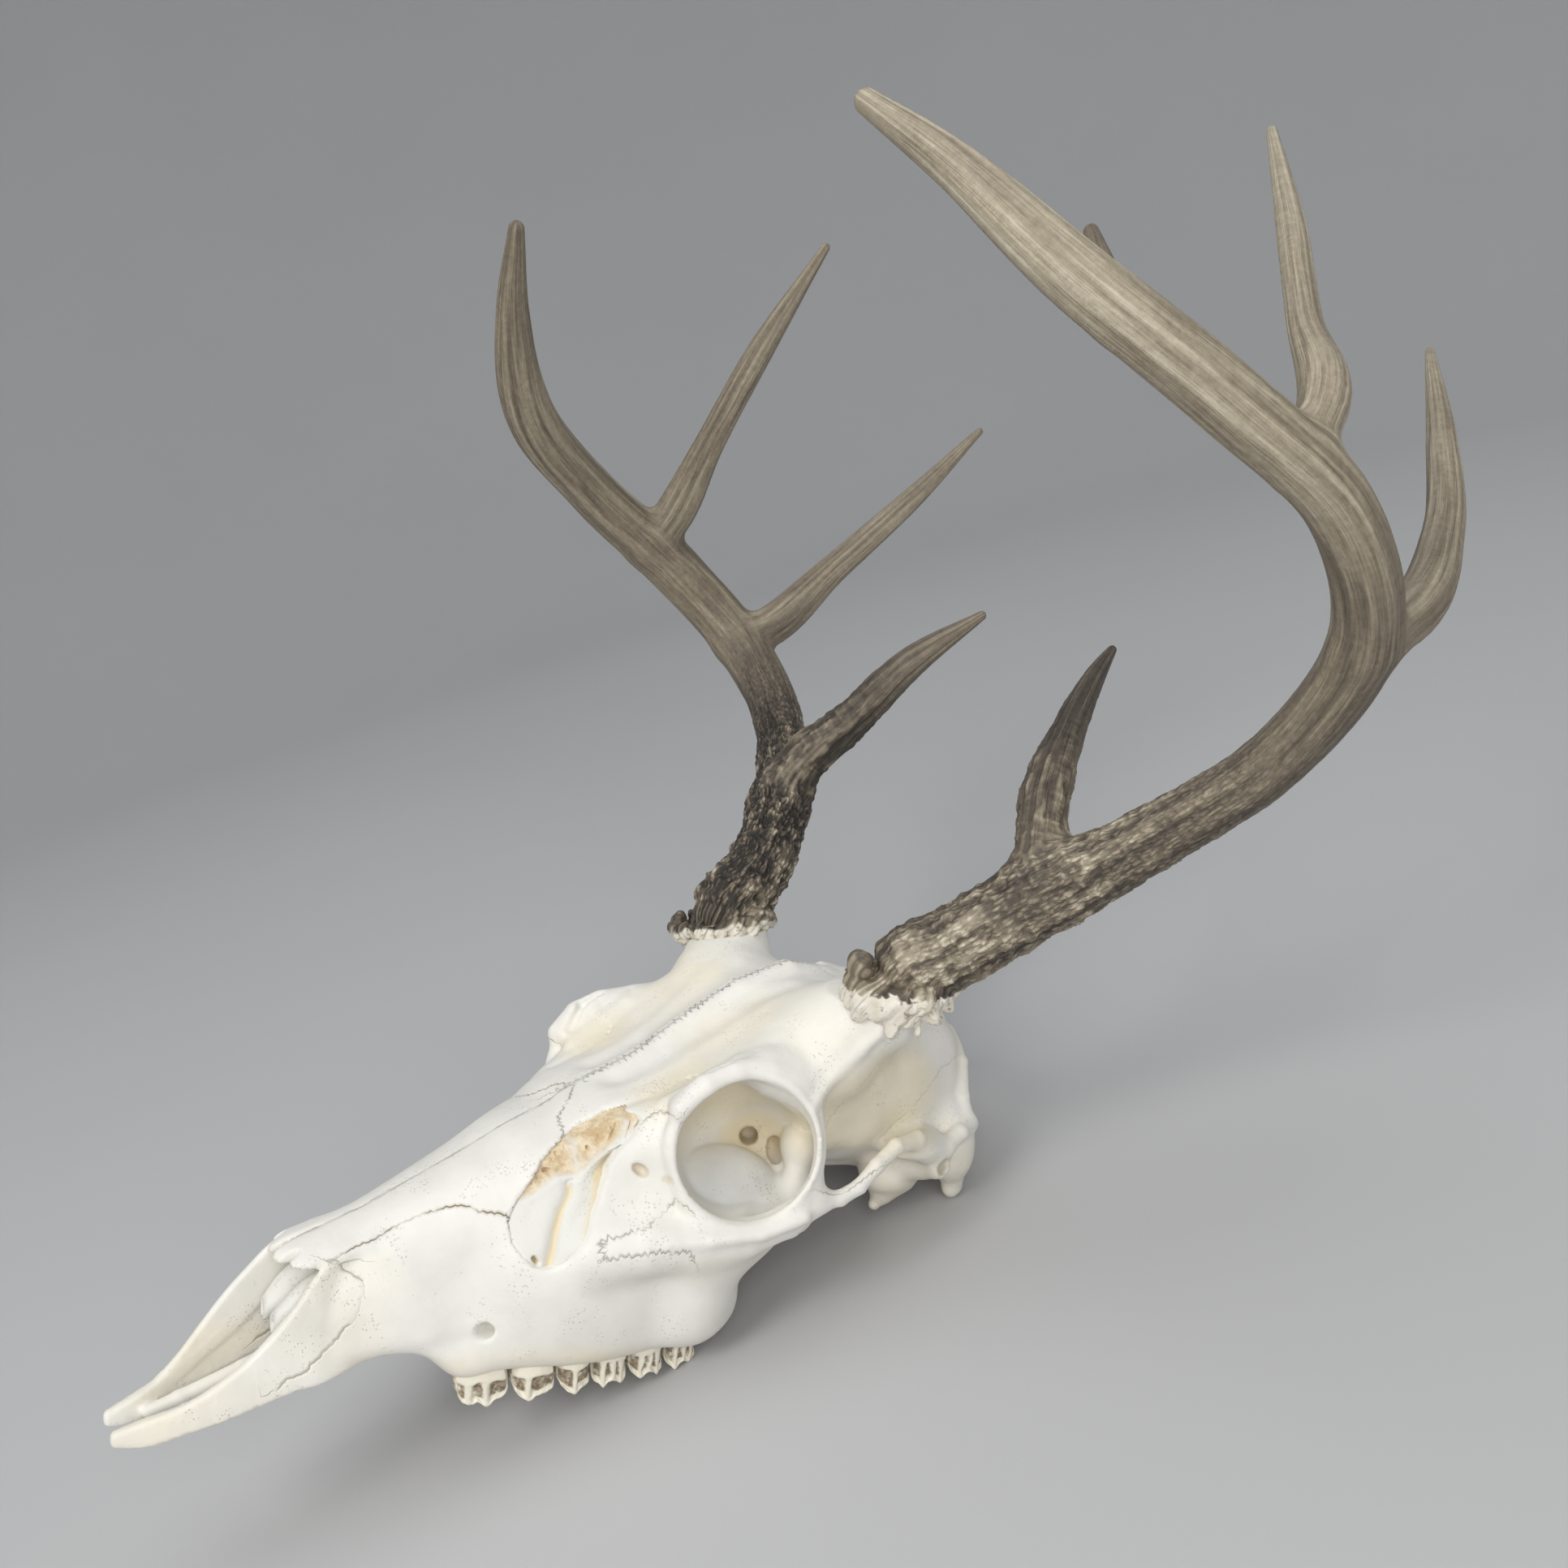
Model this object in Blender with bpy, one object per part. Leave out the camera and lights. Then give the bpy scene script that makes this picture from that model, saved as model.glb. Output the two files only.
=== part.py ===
"""Skull of a white-tailed buck with both antlers, life size, without the lower jaw.

All sizes below are millimetres in the skull's own frame: +X is the deer's left, -Y points to
the nose with the tip of the nose at y = 0, and z = 0 is the chewing plane of the cheek teeth.
Paired features are written once, for the left side (x > 0), and mirrored. At the end the
model is laid down as a loose skull rests, on its cheek teeth and the two processes beside the
neck joint, and scaled to metres.
"""

import math

import bmesh
import bpy
import numpy as np
from mathutils import Euler, Matrix, Vector

MM = 0.001
GAP = 0.3                    # clear space between neighbouring pieces
SKULL_VOXEL = 1.7            # clay resolution of the skull
ANTLER_VOXEL = 2.2           # clay resolution of an antler
SKULL_TRIANGLES = 5200       # size of the faceted skull before it is parted
ANTLER_TRIANGLES = 1000      # and of each antler
LAST_THINNING = 0.75         # share of its triangles that each parted piece keeps
SEAT_DEPTH = 3.5             # an antler ends this far below the middle of its burr
REST_PITCH = 18.8            # the nose tips up by this angle when the skull lies free
REST_SHIFT = (0.95, -235.69, 51.37)  # then moves the middle of its bottom to the origin

# Driving sizes of the skull
EYE_CENTRE = (49.5, 177.0, 73.5)     # middle of the eye socket's rim
EYE_AXIS = (1.0, -0.256, 0.12)       # the way the socket looks: outwards, a little forwards
EYE_RIM = 23.5                       # radius of the rim, to the middle of its bead
EYE_BEAD = 3.0                       # radius of the bead
TOOTH_ROW = (91.0, 169.0)            # front of the first cheek tooth, back of the last


# ---------------------------------------------------------------- fields and clay

def unit(vector):
    """A vector scaled to length one."""
    vector = np.array(vector, float)
    return vector / np.linalg.norm(vector)


def soft_min(a, b, radius):
    """Union of two distances, with a hollow fillet of about this radius."""
    mix = np.clip(0.5 + 0.5 * (b - a) / radius, 0.0, 1.0)
    return b * (1.0 - mix) + a * mix - radius * mix * (1.0 - mix)


def soft_max(a, b, radius):
    """Intersection of two distances, with a rounded edge of about this radius."""
    return -soft_min(-a, -b, radius)


def curve_value(y, stations, values):
    """Smooth curve through values given at rising stations, flat beyond the ends."""
    stations = np.array(stations, float)
    values = np.array(values, float)
    slopes = np.gradient(values, stations)
    y = np.clip(y, stations[0], stations[-1])
    i = np.clip(np.searchsorted(stations, y) - 1, 0, len(stations) - 2)
    step = stations[i + 1] - stations[i]
    t = (y - stations[i]) / step
    start = (1 + 2 * t) * (1 - t) ** 2 * values[i] + t * (1 - t) ** 2 * step * slopes[i]
    end = t * t * (3 - 2 * t) * values[i + 1] - t * t * (1 - t) * step * slopes[i + 1]
    return start + end


def pour(source, target):
    """Move everything in one bmesh into another."""
    mesh = bpy.data.meshes.new("pour")
    source.to_mesh(mesh)
    source.free()
    target.from_mesh(mesh)
    bpy.data.meshes.remove(mesh)


class Egg:
    """Ellipsoid with half sizes along x, y and z, turned by degrees about its centre."""

    def __init__(self, centre, half, turn=(0, 0, 0)):
        self.centre = np.array(centre, float)
        self.half = np.array(half, float)
        self.turn = Euler([math.radians(angle) for angle in turn]).to_matrix()

    def field(self, p):
        q = (p - self.centre) @ np.array(self.turn)
        near = np.linalg.norm(q / self.half, axis=1)
        slope = np.linalg.norm(q / self.half ** 2, axis=1)
        return near * (near - 1.0) / np.maximum(slope, 1e-6)

    def clay(self, bm, side):
        place = side @ Matrix.Translation(self.centre) @ self.turn.to_4x4()
        shape = place @ Matrix.Diagonal((*self.half, 1.0))
        bmesh.ops.create_icosphere(bm, subdivisions=4, radius=1.0, matrix=shape)


class Stem:
    """Tapered tube through stations (x, y, z, radius), thinned by a factor along one axis."""

    def __init__(self, stations, thin=None, factor=1.0):
        self.points = np.array([s[:3] for s in stations], float)
        self.radii = np.array([s[3] for s in stations], float)
        self.thin = unit(thin) if thin is not None else None
        self.factor = factor

    def field(self, p):
        best = np.full(len(p), 1e9)
        for a, b, r, s in zip(self.points, self.points[1:], self.radii, self.radii[1:]):
            run = b - a
            t = np.clip((p - a) @ run / (run @ run), 0.0, 1.0)
            q = p - a - t[:, None] * run
            if self.thin is not None:
                q = q + (self.factor - 1.0) * (q @ self.thin)[:, None] * self.thin
            best = soft_min(best, np.linalg.norm(q, axis=1) - (r + t * (s - r)), 1.0)
        if self.thin is not None:
            best = best / math.sqrt(self.factor)
        return best

    def squash(self):
        if self.thin is None:
            return Matrix.Identity(4)
        return Matrix.Scale(1.0 / self.factor, 4, Vector(self.thin))

    def clay(self, bm, side):
        for a, b, r, s in zip(self.points, self.points[1:], self.radii, self.radii[1:]):
            run = Vector(b - a)
            aim = run.to_track_quat("Z", "Y").to_matrix().to_4x4()
            place = side @ Matrix.Translation((a + b) / 2) @ self.squash() @ aim
            bmesh.ops.create_cone(bm, cap_ends=True, segments=20, radius1=r, radius2=s,
                                  depth=run.length, matrix=place)
        for a, r in zip(self.points, self.radii):
            place = side @ Matrix.Translation(a) @ self.squash()
            bmesh.ops.create_icosphere(bm, subdivisions=3, radius=r, matrix=place)


class Ring:
    """Round bead bent into a ring about an axis."""

    def __init__(self, centre, axis, radius, bead):
        self.centre = np.array(centre, float)
        self.axis = unit(axis)
        self.radius = radius
        self.bead = bead

    def field(self, p):
        q = p - self.centre
        height = q @ self.axis
        out = np.linalg.norm(q - height[:, None] * self.axis, axis=1) - self.radius
        return np.hypot(out, height) - self.bead

    def clay(self, bm, side):
        aim = Vector(self.axis).to_track_quat("Z", "Y").to_matrix().to_4x4()
        place = side @ Matrix.Translation(self.centre) @ aim
        start = Matrix.Translation((self.radius, 0, 0)) @ Matrix.Rotation(math.pi / 2, 4, "X")
        ring = bmesh.new()
        bmesh.ops.create_circle(ring, segments=16, radius=self.bead, matrix=start)
        bmesh.ops.spin(ring, geom=ring.verts[:] + ring.edges[:], cent=(0, 0, 0),
                       axis=(0, 0, 1), angle=2 * math.pi, steps=48, use_merge=True)
        bmesh.ops.transform(ring, matrix=place, verts=ring.verts)
        pour(ring, bm)


class Loft:
    """Body along y: each station gives y, z top, z bottom, and inner and outer x at both."""

    def __init__(self, stations, rounding, bulge=1.0, arch=0.0):
        rows = np.array(stations, float)
        self.y = rows[:, 0]
        self.rows = rows[:, 1:].T
        self.rounding = rounding
        self.bulge = bulge
        self.arch = arch

    def section(self, y):
        return [curve_value(y, self.y, row) for row in self.rows]

    def field(self, p):
        x, y, z = p.T
        top, low, in_top, out_top, in_low, out_low = self.section(y)
        t = np.clip((z - low) / (top - low), 0.0, 1.0) ** self.bulge
        outer = x - (out_low + t * (out_top - out_low))
        inner = (in_low + t * (in_top - in_low)) - x
        lean = (out_top - out_low) / (top - low)
        slope = np.sqrt(1.0 + lean * lean)
        side = soft_max(outer / slope, inner / slope, self.rounding)
        crown = top - self.arch * (x / out_top) ** 2
        cap = soft_max(z - crown, low - z, self.rounding)
        ends = np.maximum(self.y[0] - y, y - self.y[-1])
        return soft_max(soft_max(side, cap, self.rounding), ends, self.rounding)

    def clay(self, bm, side):
        block = bmesh.new()
        bmesh.ops.create_cube(block, size=2.0)
        bmesh.ops.subdivide_edges(block, edges=block.edges[:], cuts=14, use_grid_fill=True)
        y = np.array([(v.co.y + 1.0) / 2.0 for v in block.verts])
        y = self.y[0] + y * (self.y[-1] - self.y[0])
        columns = np.array(self.section(y)).T
        shrink = 0.9
        for vert, along, row in zip(block.verts, y, columns):
            top, low, in_top, out_top, in_low, out_low = row
            t = (vert.co.z * shrink + 1.0) / 2.0
            u = (vert.co.x * shrink + 1.0) / 2.0
            inner = in_low + t ** self.bulge * (in_top - in_low)
            outer = out_low + t ** self.bulge * (out_top - out_low)
            across = inner + u * (outer - inner)
            crown = top - self.arch * (across / out_top) ** 2
            place = Vector((across, along, low + t * (crown - low)))
            vert.co = side @ place
        pour(block, bm)


def even(stations):
    """Loft across the middle from rows y, top, bottom, half width at top and at bottom."""
    return [(y, top, low, -wide_top, wide_top, -wide_low, wide_low)
            for y, top, low, wide_top, wide_low in stations]


# The plan above is drawn slim: each half is widened, and its outer side brought forward.
WIDEN = 1.09
FORWARD = 0.05
RAISE = 0.02
FLARE = Matrix(((WIDEN, 0, 0, 0), (-FORWARD, 1, 0, 0), (RAISE, 0, 1, 0), (0, 0, 0, 1)))
LEFT = FLARE
RIGHT = Matrix.Scale(-1.0, 4, (1, 0, 0)) @ FLARE
WHOLE = Matrix.Identity(4)


def mesh_object(name, bm):
    """Put a bmesh into a new linked object."""
    mesh = bpy.data.meshes.new(name)
    bmesh.ops.recalc_face_normals(bm, faces=bm.faces[:])
    bm.to_mesh(mesh)
    bm.free()
    piece = bpy.data.objects.new(name, mesh)
    bpy.context.scene.collection.objects.link(piece)
    return piece


def apply_modifiers(piece):
    """Replace an object's mesh by its evaluated mesh and drop the modifiers."""
    graph = bpy.context.evaluated_depsgraph_get()
    mesh = bpy.data.meshes.new_from_object(piece.evaluated_get(graph))
    piece.modifiers.clear()
    old = piece.data
    piece.data = mesh
    bpy.data.meshes.remove(old)


def fuse(piece, voxel):
    """Melt an object's closed shapes into one skin."""
    remesh = piece.modifiers.new("fuse", "REMESH")
    remesh.mode = "VOXEL"
    remesh.voxel_size = voxel
    apply_modifiers(piece)


def clay_object(name, features, voxel):
    """Block out features as simple closed shapes and melt them into one skin."""
    bm = bmesh.new()
    for feature in features:
        feature.clay(bm, LEFT)
        feature.clay(bm, RIGHT)
    piece = mesh_object(name, bm)
    fuse(piece, voxel)
    return piece


def boolean(piece, cutter, operation):
    """Cut or trim one object by another."""
    step = piece.modifiers.new("cut", "BOOLEAN")
    step.operation = operation
    step.solver = "EXACT"
    step.object = cutter
    apply_modifiers(piece)


def discard(piece):
    mesh = piece.data
    bpy.data.objects.remove(piece)
    bpy.data.meshes.remove(mesh)


def sculpt(piece, field, steps, reach=2.0):
    """Draw every vertex along its normal onto the field's zero surface, and relax between."""
    mesh = piece.data
    count = len(mesh.vertices)
    for step in range(steps):
        if step < steps - 2:
            bm = bmesh.new()
            bm.from_mesh(mesh)
            bmesh.ops.smooth_vert(bm, verts=bm.verts, factor=0.5, use_axis_x=True,
                                  use_axis_y=True, use_axis_z=True)
            bm.to_mesh(mesh)
            bm.free()
        points = np.empty(count * 3)
        mesh.vertices.foreach_get("co", points)
        points = points.reshape(-1, 3)
        normals = np.array([vert.normal for vert in mesh.vertices])
        move = np.clip(field(points), -reach, reach)
        points -= move[:, None] * normals
        mesh.vertices.foreach_set("co", points.ravel())
        mesh.update()


# ---------------------------------------------------------------- the skull's features

def skull_masses():
    """The closed masses of the face and the brain case, each with its fillet radius."""
    face = Loft(even([
        # y, top, bottom, half width at the top and at the bottom
        (54, 51.5, 13, 12.5, 18.5),
        (62, 54.5, 14, 14, 19.5),
        (75, 59, 14, 15.5, 22.5),
        (90, 65, 9, 18, 26.5),
        (105, 71, 8, 21, 30),
        (120, 77.5, 8, 25, 32.5),
        (135, 82, 8, 29, 35),
        (150, 86, 8, 32, 36),
        (165, 92, 9, 32, 38),
        (182, 100, 14, 30, 36),
    ]), rounding=9, bulge=1.2, arch=8)
    forehead = Loft(even([
        (138, 83, 44, 26, 36),
        (150, 87, 40, 36, 42),
        (160, 91.5, 36, 43, 44),
        (170, 97, 34, 46, 42),
        (180, 101.5, 34, 45, 38),
        (190, 106, 38, 40, 32),
        (200, 110, 42, 36, 28),
        (212, 112.5, 45, 34, 30),
        (228, 110, 46, 30, 34),
    ]), rounding=8, arch=1.5)
    brain = Egg((0, 234, 78), (39, 47, 34.5))
    back = Loft(even([
        (246, 102, 48, 28, 38),
        (258, 98, 46, 27, 38),
        (268, 92.5, 48, 25, 37),
        (275, 88, 52, 20, 31),
    ]), rounding=7)
    base = Loft(even([
        (185, 62, 42, 12, 11),
        (210, 62, 45, 14, 11),
        (240, 62, 46, 16, 13),
        (272, 62, 46, 18, 12),
    ]), rounding=5)
    return [
        (face, 1), (forehead, 10), (brain, 12), (back, 10), (base, 8),
        # swelling of the upper jaw over the roots of the molars, and the jaw's blunt rear end
        (Egg((24, 140, 36), (15, 34, 24)), 12),
        (Egg((31, 168, 31), (14, 14, 22)), 9),
        (Egg((40, 176, 40), (12, 20, 9), (0, -35, 0)), 7),
        # condyles, mastoid part and the processes beside the neck joint
        (Egg((13, 275, 53), (8.5, 8.5, 12), (0, 0, -20)), 5),
        (Egg((32, 267, 58), (7.5, 9, 11)), 8),
        (Stem([(33, 268, 56, 7), (31, 271, 48, 6.4), (29.5, 271, 42, 5)], (1, 0.4, 0), 1.5), 5),
        # ear: bony drum, its blade and the tube of the ear canal
        (Egg((23, 246, 47), (8, 11, 8)), 6),
        (Stem([(23, 250, 44, 6), (21.5, 245, 39, 4.5), (20.7, 242, 35, 2.4)], (1, 0, 0), 1.5), 4),
        (Stem([(30, 249, 53, 6), (41, 252, 54, 5)]), 4),
        # bony stalks that carry the antlers
        (Stem([(25, 207, 88, 18), (36, 217, 102, 15.5), (44.5, 225, 111, 14), (49.5, 229, 121, 13.6)]), 14),
    ]


def skull_bars():
    """The bead round the eye socket, the cheek arch and the crests, with fillet radii."""
    return [
        (Ring(EYE_CENTRE, EYE_AXIS, EYE_RIM, EYE_BEAD), 5),
        # cheek bone under the socket
        (Stem([(38, 132, 46, 7), (44, 146, 47, 6.5), (49, 160, 47, 5.5), (52, 176, 47.5, 5),
               (53.5, 190, 50, 5), (54, 200, 55, 4.4)], (1, 0, 0), 1.3), 7),
        # bar behind the socket
        (Stem([(43, 191, 96, 5), (49, 197, 89, 4.2), (53, 201, 80, 3.6), (54.5, 202, 68, 3.4),
               (54.5, 201.5, 57, 4.2)], (1, 0.6, 0), 1.2), 4),
        # cheek arch back to the ear
        (Stem([(54, 200, 56, 4.3), (53.5, 209, 56.5, 4.2), (52.5, 219, 60, 4.4),
               (50.5, 230, 64, 4.8), (47, 240, 63.5, 4.8), (40, 247, 61.5, 5)], (1, 0, 0), 1.35), 3),
        (Egg((38, 240, 61), (12, 12, 4.5)), 5),
        # crest from the arch over the ear canal to the corner of the nape
        (Stem([(43, 246, 60, 3.4), (42.5, 255, 60, 3), (41.5, 263, 63, 2.8), (38, 272, 64, 3)]), 4),
        # crest of the nape
        (Stem([(38, 270, 63, 2.8), (35, 271.5, 72, 2.6), (27, 274.5, 82, 2.6),
               (12, 278, 88, 2.8), (0, 279, 89, 3)]), 4),
        # plates that hang from the base behind the palate
        (Stem([(11, 168, 30, 8), (11, 182, 34, 9), (11, 196, 38, 8), (11, 204, 32, 3)], (1, 0, 0), 3.4), 3),
    ]


def skull_hollows():
    """Spaces that are cut from the masses, each with the radius of its edge."""
    palate = Loft(even([
        (40, 12, -12, 9, 13),
        (60, 17, -12, 13, 15),
        (90, 17, -12, 15, 19),
        (130, 18, -12, 16, 22),
        (172, 19, -12, 17, 23),
        (190, 19, -12, 20, 26),
    ]), rounding=5)
    throat = Loft(even([
        (162, 26, 4, 9, 9),
        (176, 38, 4, 9, 9),
        (190, 43, 4, 9, 9),
        (206, 44, 4, 8, 8),
    ]), rounding=4)
    nose = Loft(even([
        (30, 58, 18, 11, 14),
        (54, 50, 18, 10, 15),
        (68, 53, 21, 10, 16),
        (84, 58, 27, 8, 12),
    ]), rounding=6)
    window = Stem([(32, 147, 76, 3), (31, 138, 69, 6.5), (32, 126, 61, 9.5), (33, 118, 52, 8.5),
                   (36, 115, 46, 5)], (1, 0, 0), 0.7)
    return [
        (palate, 2), (throat, 3), (nose, 3), (window, 1.5),
        # eye socket: a bowl that runs back and inwards to the canal of the optic nerve
        (Egg((50, 177, 73), (28, 21.3, 20.8), (0, -5, -14)), 2),
        (Egg((36, 188, 68), (17, 15, 15)), 4),
        (Stem([(20, 190, 66, 3), (12, 199, 64, 2.4)]), 1),
        # pit before the socket, hollow of the cheek, and the nerve opening over the premolars
        (Egg((50, 142, 67), (11.5, 12, 11)), 5),
        (Egg((31, 99, 22.5), (5, 4.5, 3.6), (0, 0, 25)), 1.2),
        # hollows of the forehead on either side of its middle ridge
        (Egg((22, 172, 112), (13, 34, 14), (33, 0, 0)), 8),
        # way into the brain case
        (Egg((0, 289, 63), (10.5, 16, 10)), 2),
        (Stem([(44, 253, 54, 3), (37, 251, 53.5, 2.2)]), 1),
    ]


def nose_walls():
    """Nasal bones, premaxillae and their inner rods, built round the open nose."""
    nasal = Loft([
        # y, top, bottom, then inner and outer x at the top and at the bottom
        (44.5, 49.5, 46.5, 2.5, 6, 2.5, 6),
        (50, 51.8, 47, 0.4, 9, 0.4, 10),
        (58, 54.2, 47.5, 0, 11, 0, 13.5),
        (70, 58, 49, 0, 12.5, 0, 15.5),
    ], rounding=1.6, arch=3.5)
    blade = Loft([
        (0, 10.2, 4.6, 3.6, 6.6, 3.0, 7.2),
        (8, 13.6, 3.6, 5.2, 8.6, 3.0, 9.6),
        (20, 18.4, 6.2, 8.2, 11.6, 7.0, 12.4),
        (36, 24.6, 10.4, 11.0, 14.6, 9.8, 15.4),
        (49, 36.5, 13.6, 11.6, 15.0, 12.0, 17.4),
        (58, 48.5, 13.6, 11.8, 15.2, 14.0, 19.0),
        (70, 51, 14.0, 12.0, 16.0, 16.0, 21.0),
    ], rounding=1.5)
    rod = Stem([(4.4, 5, 6.5, 2.4), (4.4, 20, 9.5, 2.4), (4.8, 38, 13, 2.8), (6, 60, 17, 4.5)])
    return [(nasal, 1.5), (blade, 2), (rod, 2)]


class ToothRow:
    """Cheek teeth of one side: lobes along y, widest and longest in their middles."""

    lengths = (10, 11, 11, 7, 7, 8, 8, 8, 8)
    start = (91, 101, 112, 125, 140, 155, 170)
    outer = (25.6, 28.6, 31.6, 34, 35.6, 36, 34.8)
    inner = (18.2, 19.2, 20.6, 21.8, 22.4, 22.6, 23)
    top = 15.0
    notch = 1.5
    cusp = 2.2

    def sides(self, y):
        edges = TOOTH_ROW[0] + np.r_[0, np.cumsum(self.lengths)]
        i = np.clip(np.searchsorted(edges, y) - 1, 0, len(self.lengths) - 1)
        phase = np.clip((y - edges[i]) / (edges[i + 1] - edges[i]), 0.0, 1.0)
        dip = (1.0 - np.sin(math.pi * phase)) ** 1.4
        outer = curve_value(y, self.start, self.outer) - self.notch * dip
        inner = curve_value(y, self.start, self.inner) + self.notch * dip
        return outer, inner, dip

    def field(self, p):
        x, y, z = p.T
        outer, inner, dip = self.sides(y)
        taper = 0.12 * np.clip(8.0 - z, 0.0, 8.0)
        side = soft_max(x - outer + taper, inner - x + 1.6 * taper, 1.5)
        low = 0.4 + self.cusp * dip + 0.16 * (outer - x)
        ends = np.maximum(TOOTH_ROW[0] - y, y - TOOTH_ROW[1])
        return soft_max(soft_max(side, soft_max(low - z, z - self.top, 1.5), 1.5), ends, 2.0)

    def clay(self, bm, side):
        block = bmesh.new()
        bmesh.ops.create_cube(block, size=2.0)
        bmesh.ops.subdivide_edges(block, edges=block.edges[:], cuts=40, use_grid_fill=True)
        for vert in block.verts:
            y = TOOTH_ROW[0] + (vert.co.y + 1.0) / 2.0 * (TOOTH_ROW[1] - TOOTH_ROW[0])
            outer, inner, dip = self.sides(np.array(y))
            x = inner + (vert.co.x + 1.0) / 2.0 * (outer - inner)
            low = 1.0 + self.cusp * dip
            vert.co = side @ Vector((x, y, low + (vert.co.z + 1.0) / 2.0 * (self.top - low)))
        pour(block, bm)


def paired(p):
    """Points folded onto the left side and brought back to the slim plan."""
    half = np.sqrt(p[:, 0] ** 2 + 1.0) - 1.0
    slim = half / WIDEN
    return np.array([slim, p[:, 1] + FORWARD * slim, p[:, 2] - RAISE * slim]).T


def skull_field(p):
    """Distance to the finished skull: negative inside the bone."""
    q = paired(p)
    value = np.full(len(q), 1e3)
    for feature, fillet in skull_masses() + skull_bars():
        value = soft_min(value, feature.field(q), fillet)
    for feature, fillet in skull_hollows():
        value = soft_max(value, -feature.field(q), fillet)
    for feature, fillet in nose_walls() + [(ToothRow(), 1.2)]:
        value = soft_min(value, feature.field(q), fillet)
    return value


def make_skull():
    """Block out, cut, melt and sculpt the whole skull."""
    skull = clay_object("skull", [f for f, _ in skull_masses() + skull_bars()], SKULL_VOXEL)
    hollow = clay_object("hollow", [f for f, _ in skull_hollows()], SKULL_VOXEL)
    boolean(skull, hollow, "DIFFERENCE")
    discard(hollow)
    bm = bmesh.new()
    bm.from_mesh(skull.data)
    for feature, _ in nose_walls() + [(ToothRow(), 1.2)]:
        feature.clay(bm, LEFT)
        feature.clay(bm, RIGHT)
    bm.to_mesh(skull.data)
    bm.free()
    fuse(skull, SKULL_VOXEL)
    sculpt(skull, skull_field, 8)
    fuse(skull, 0.8 * SKULL_VOXEL)
    return skull


# ---------------------------------------------------------------- the antlers

# Each beam runs from the burr out and back, turns forward at the second fork and hooks over
# the face. Stations are x, y, z and radius; each tine starts inside the beam.
LEFT_BEAM = [
    (55, 225, 110, 13.6), (56.5, 227, 119, 13.6), (65, 238, 131, 13.2), (80, 254, 146, 12.6),
    (110, 278, 170, 10.2), (143, 294, 197, 9.2), (171, 293, 230, 9.6), (185, 265, 263, 9.0),
    (180, 229, 288, 8.9), (165, 196, 314, 8.4), (140, 176, 343, 5.6), (119, 167, 361, 2.2),
]
LEFT_TINES = {
    "brow_tine": [(83, 258, 153, 9), (74, 267, 175, 8.2), (57, 292, 200, 5.8),
                  (45, 313, 216, 3.8), (37, 327, 224, 1.5)],
    "second_tine": [(170, 290, 226, 9), (175, 305, 234, 8.2), (161, 336, 260, 6.0),
                    (139, 362, 290, 4.7), (115, 386, 322, 1.2)],
    "third_tine": [(186, 250, 274, 8), (184, 257, 284, 7.4), (164, 273, 311, 4.9),
                   (142, 290, 343, 4.2), (119, 306, 375, 1.1)],
    "small_tine": [(170, 206, 304, 6), (161, 207, 316, 4.6), (154, 209, 328, 2.2)],
}
RIGHT_BEAM = [
    (-55, 223, 110, 13.6), (-55.5, 225, 119, 13.4), (-60, 238, 133, 12.6), (-74, 256, 150, 12),
    (-106, 279, 174, 10.8), (-142, 294, 197, 11), (-174, 293, 224, 11.8), (-184, 264, 257, 12),
    (-181, 227, 285, 10.8), (-165, 192, 314, 10.6), (-140, 175, 349, 6.8), (-120, 169, 377, 2.2),
]
RIGHT_TINES = {
    "brow_tine": [(-84, 262, 158, 11), (-79, 272, 176, 9.8), (-66, 287, 194, 8.3),
                  (-50, 304, 217, 6.6), (-34, 326, 236, 1.4)],
    "second_tine": [(-172, 291, 220, 11), (-168, 306, 225, 10.2), (-154, 333, 255, 6.9),
                    (-136, 362, 286, 5.2), (-118, 388, 318, 1.3)],
    "third_tine": [(-184, 256, 260, 11), (-179, 265, 276, 9.4), (-163, 273, 306, 6.8),
                   (-142, 288, 347, 5.7), (-119, 304, 386, 1.5)],
}
LEFT_BURR = ((55.5, 226.5, 119.5), (0.16, -0.05, 0.985), 15.5)
RIGHT_BURR = ((-55.0, 223.5, 119.5), (-0.16, -0.05, 0.985), 16.5)


def route(stations, spacing=6.0):
    """Smooth run of stations at an even spacing through the given ones."""
    rows = np.array(stations, float)
    chord = np.r_[0, np.cumsum(np.linalg.norm(np.diff(rows[:, :3], axis=0), axis=1))]
    count = max(int(chord[-1] / spacing), 2)
    along = np.linspace(0, chord[-1], count + 1)
    return np.array([curve_value(along, chord, column) for column in rows.T]).T


def antler_features(beam, tines, burr):
    """Beam, tines and the knobbed burr of one antler, each with its fillet radius."""
    centre, axis, radius = burr
    features = [(Stem(route(beam)), 1)]
    features += [(Stem(route(tine)), 6) for tine in tines.values()]
    features.append((Ring(centre, axis, radius, 3.2), 3))
    across = unit(np.cross(axis, (0, 1, 0)))
    along = np.cross(axis, across)
    knobs = 13
    for knob in range(knobs):
        angle = 2 * math.pi * knob / knobs
        out = math.cos(angle) * across + math.sin(angle) * along
        size = 3.0 + 0.7 * math.sin(2.3 * knob)
        features.append((Egg(np.array(centre) + (radius + 2.2) * out, (size, size, size)), 2))
    return features


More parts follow.
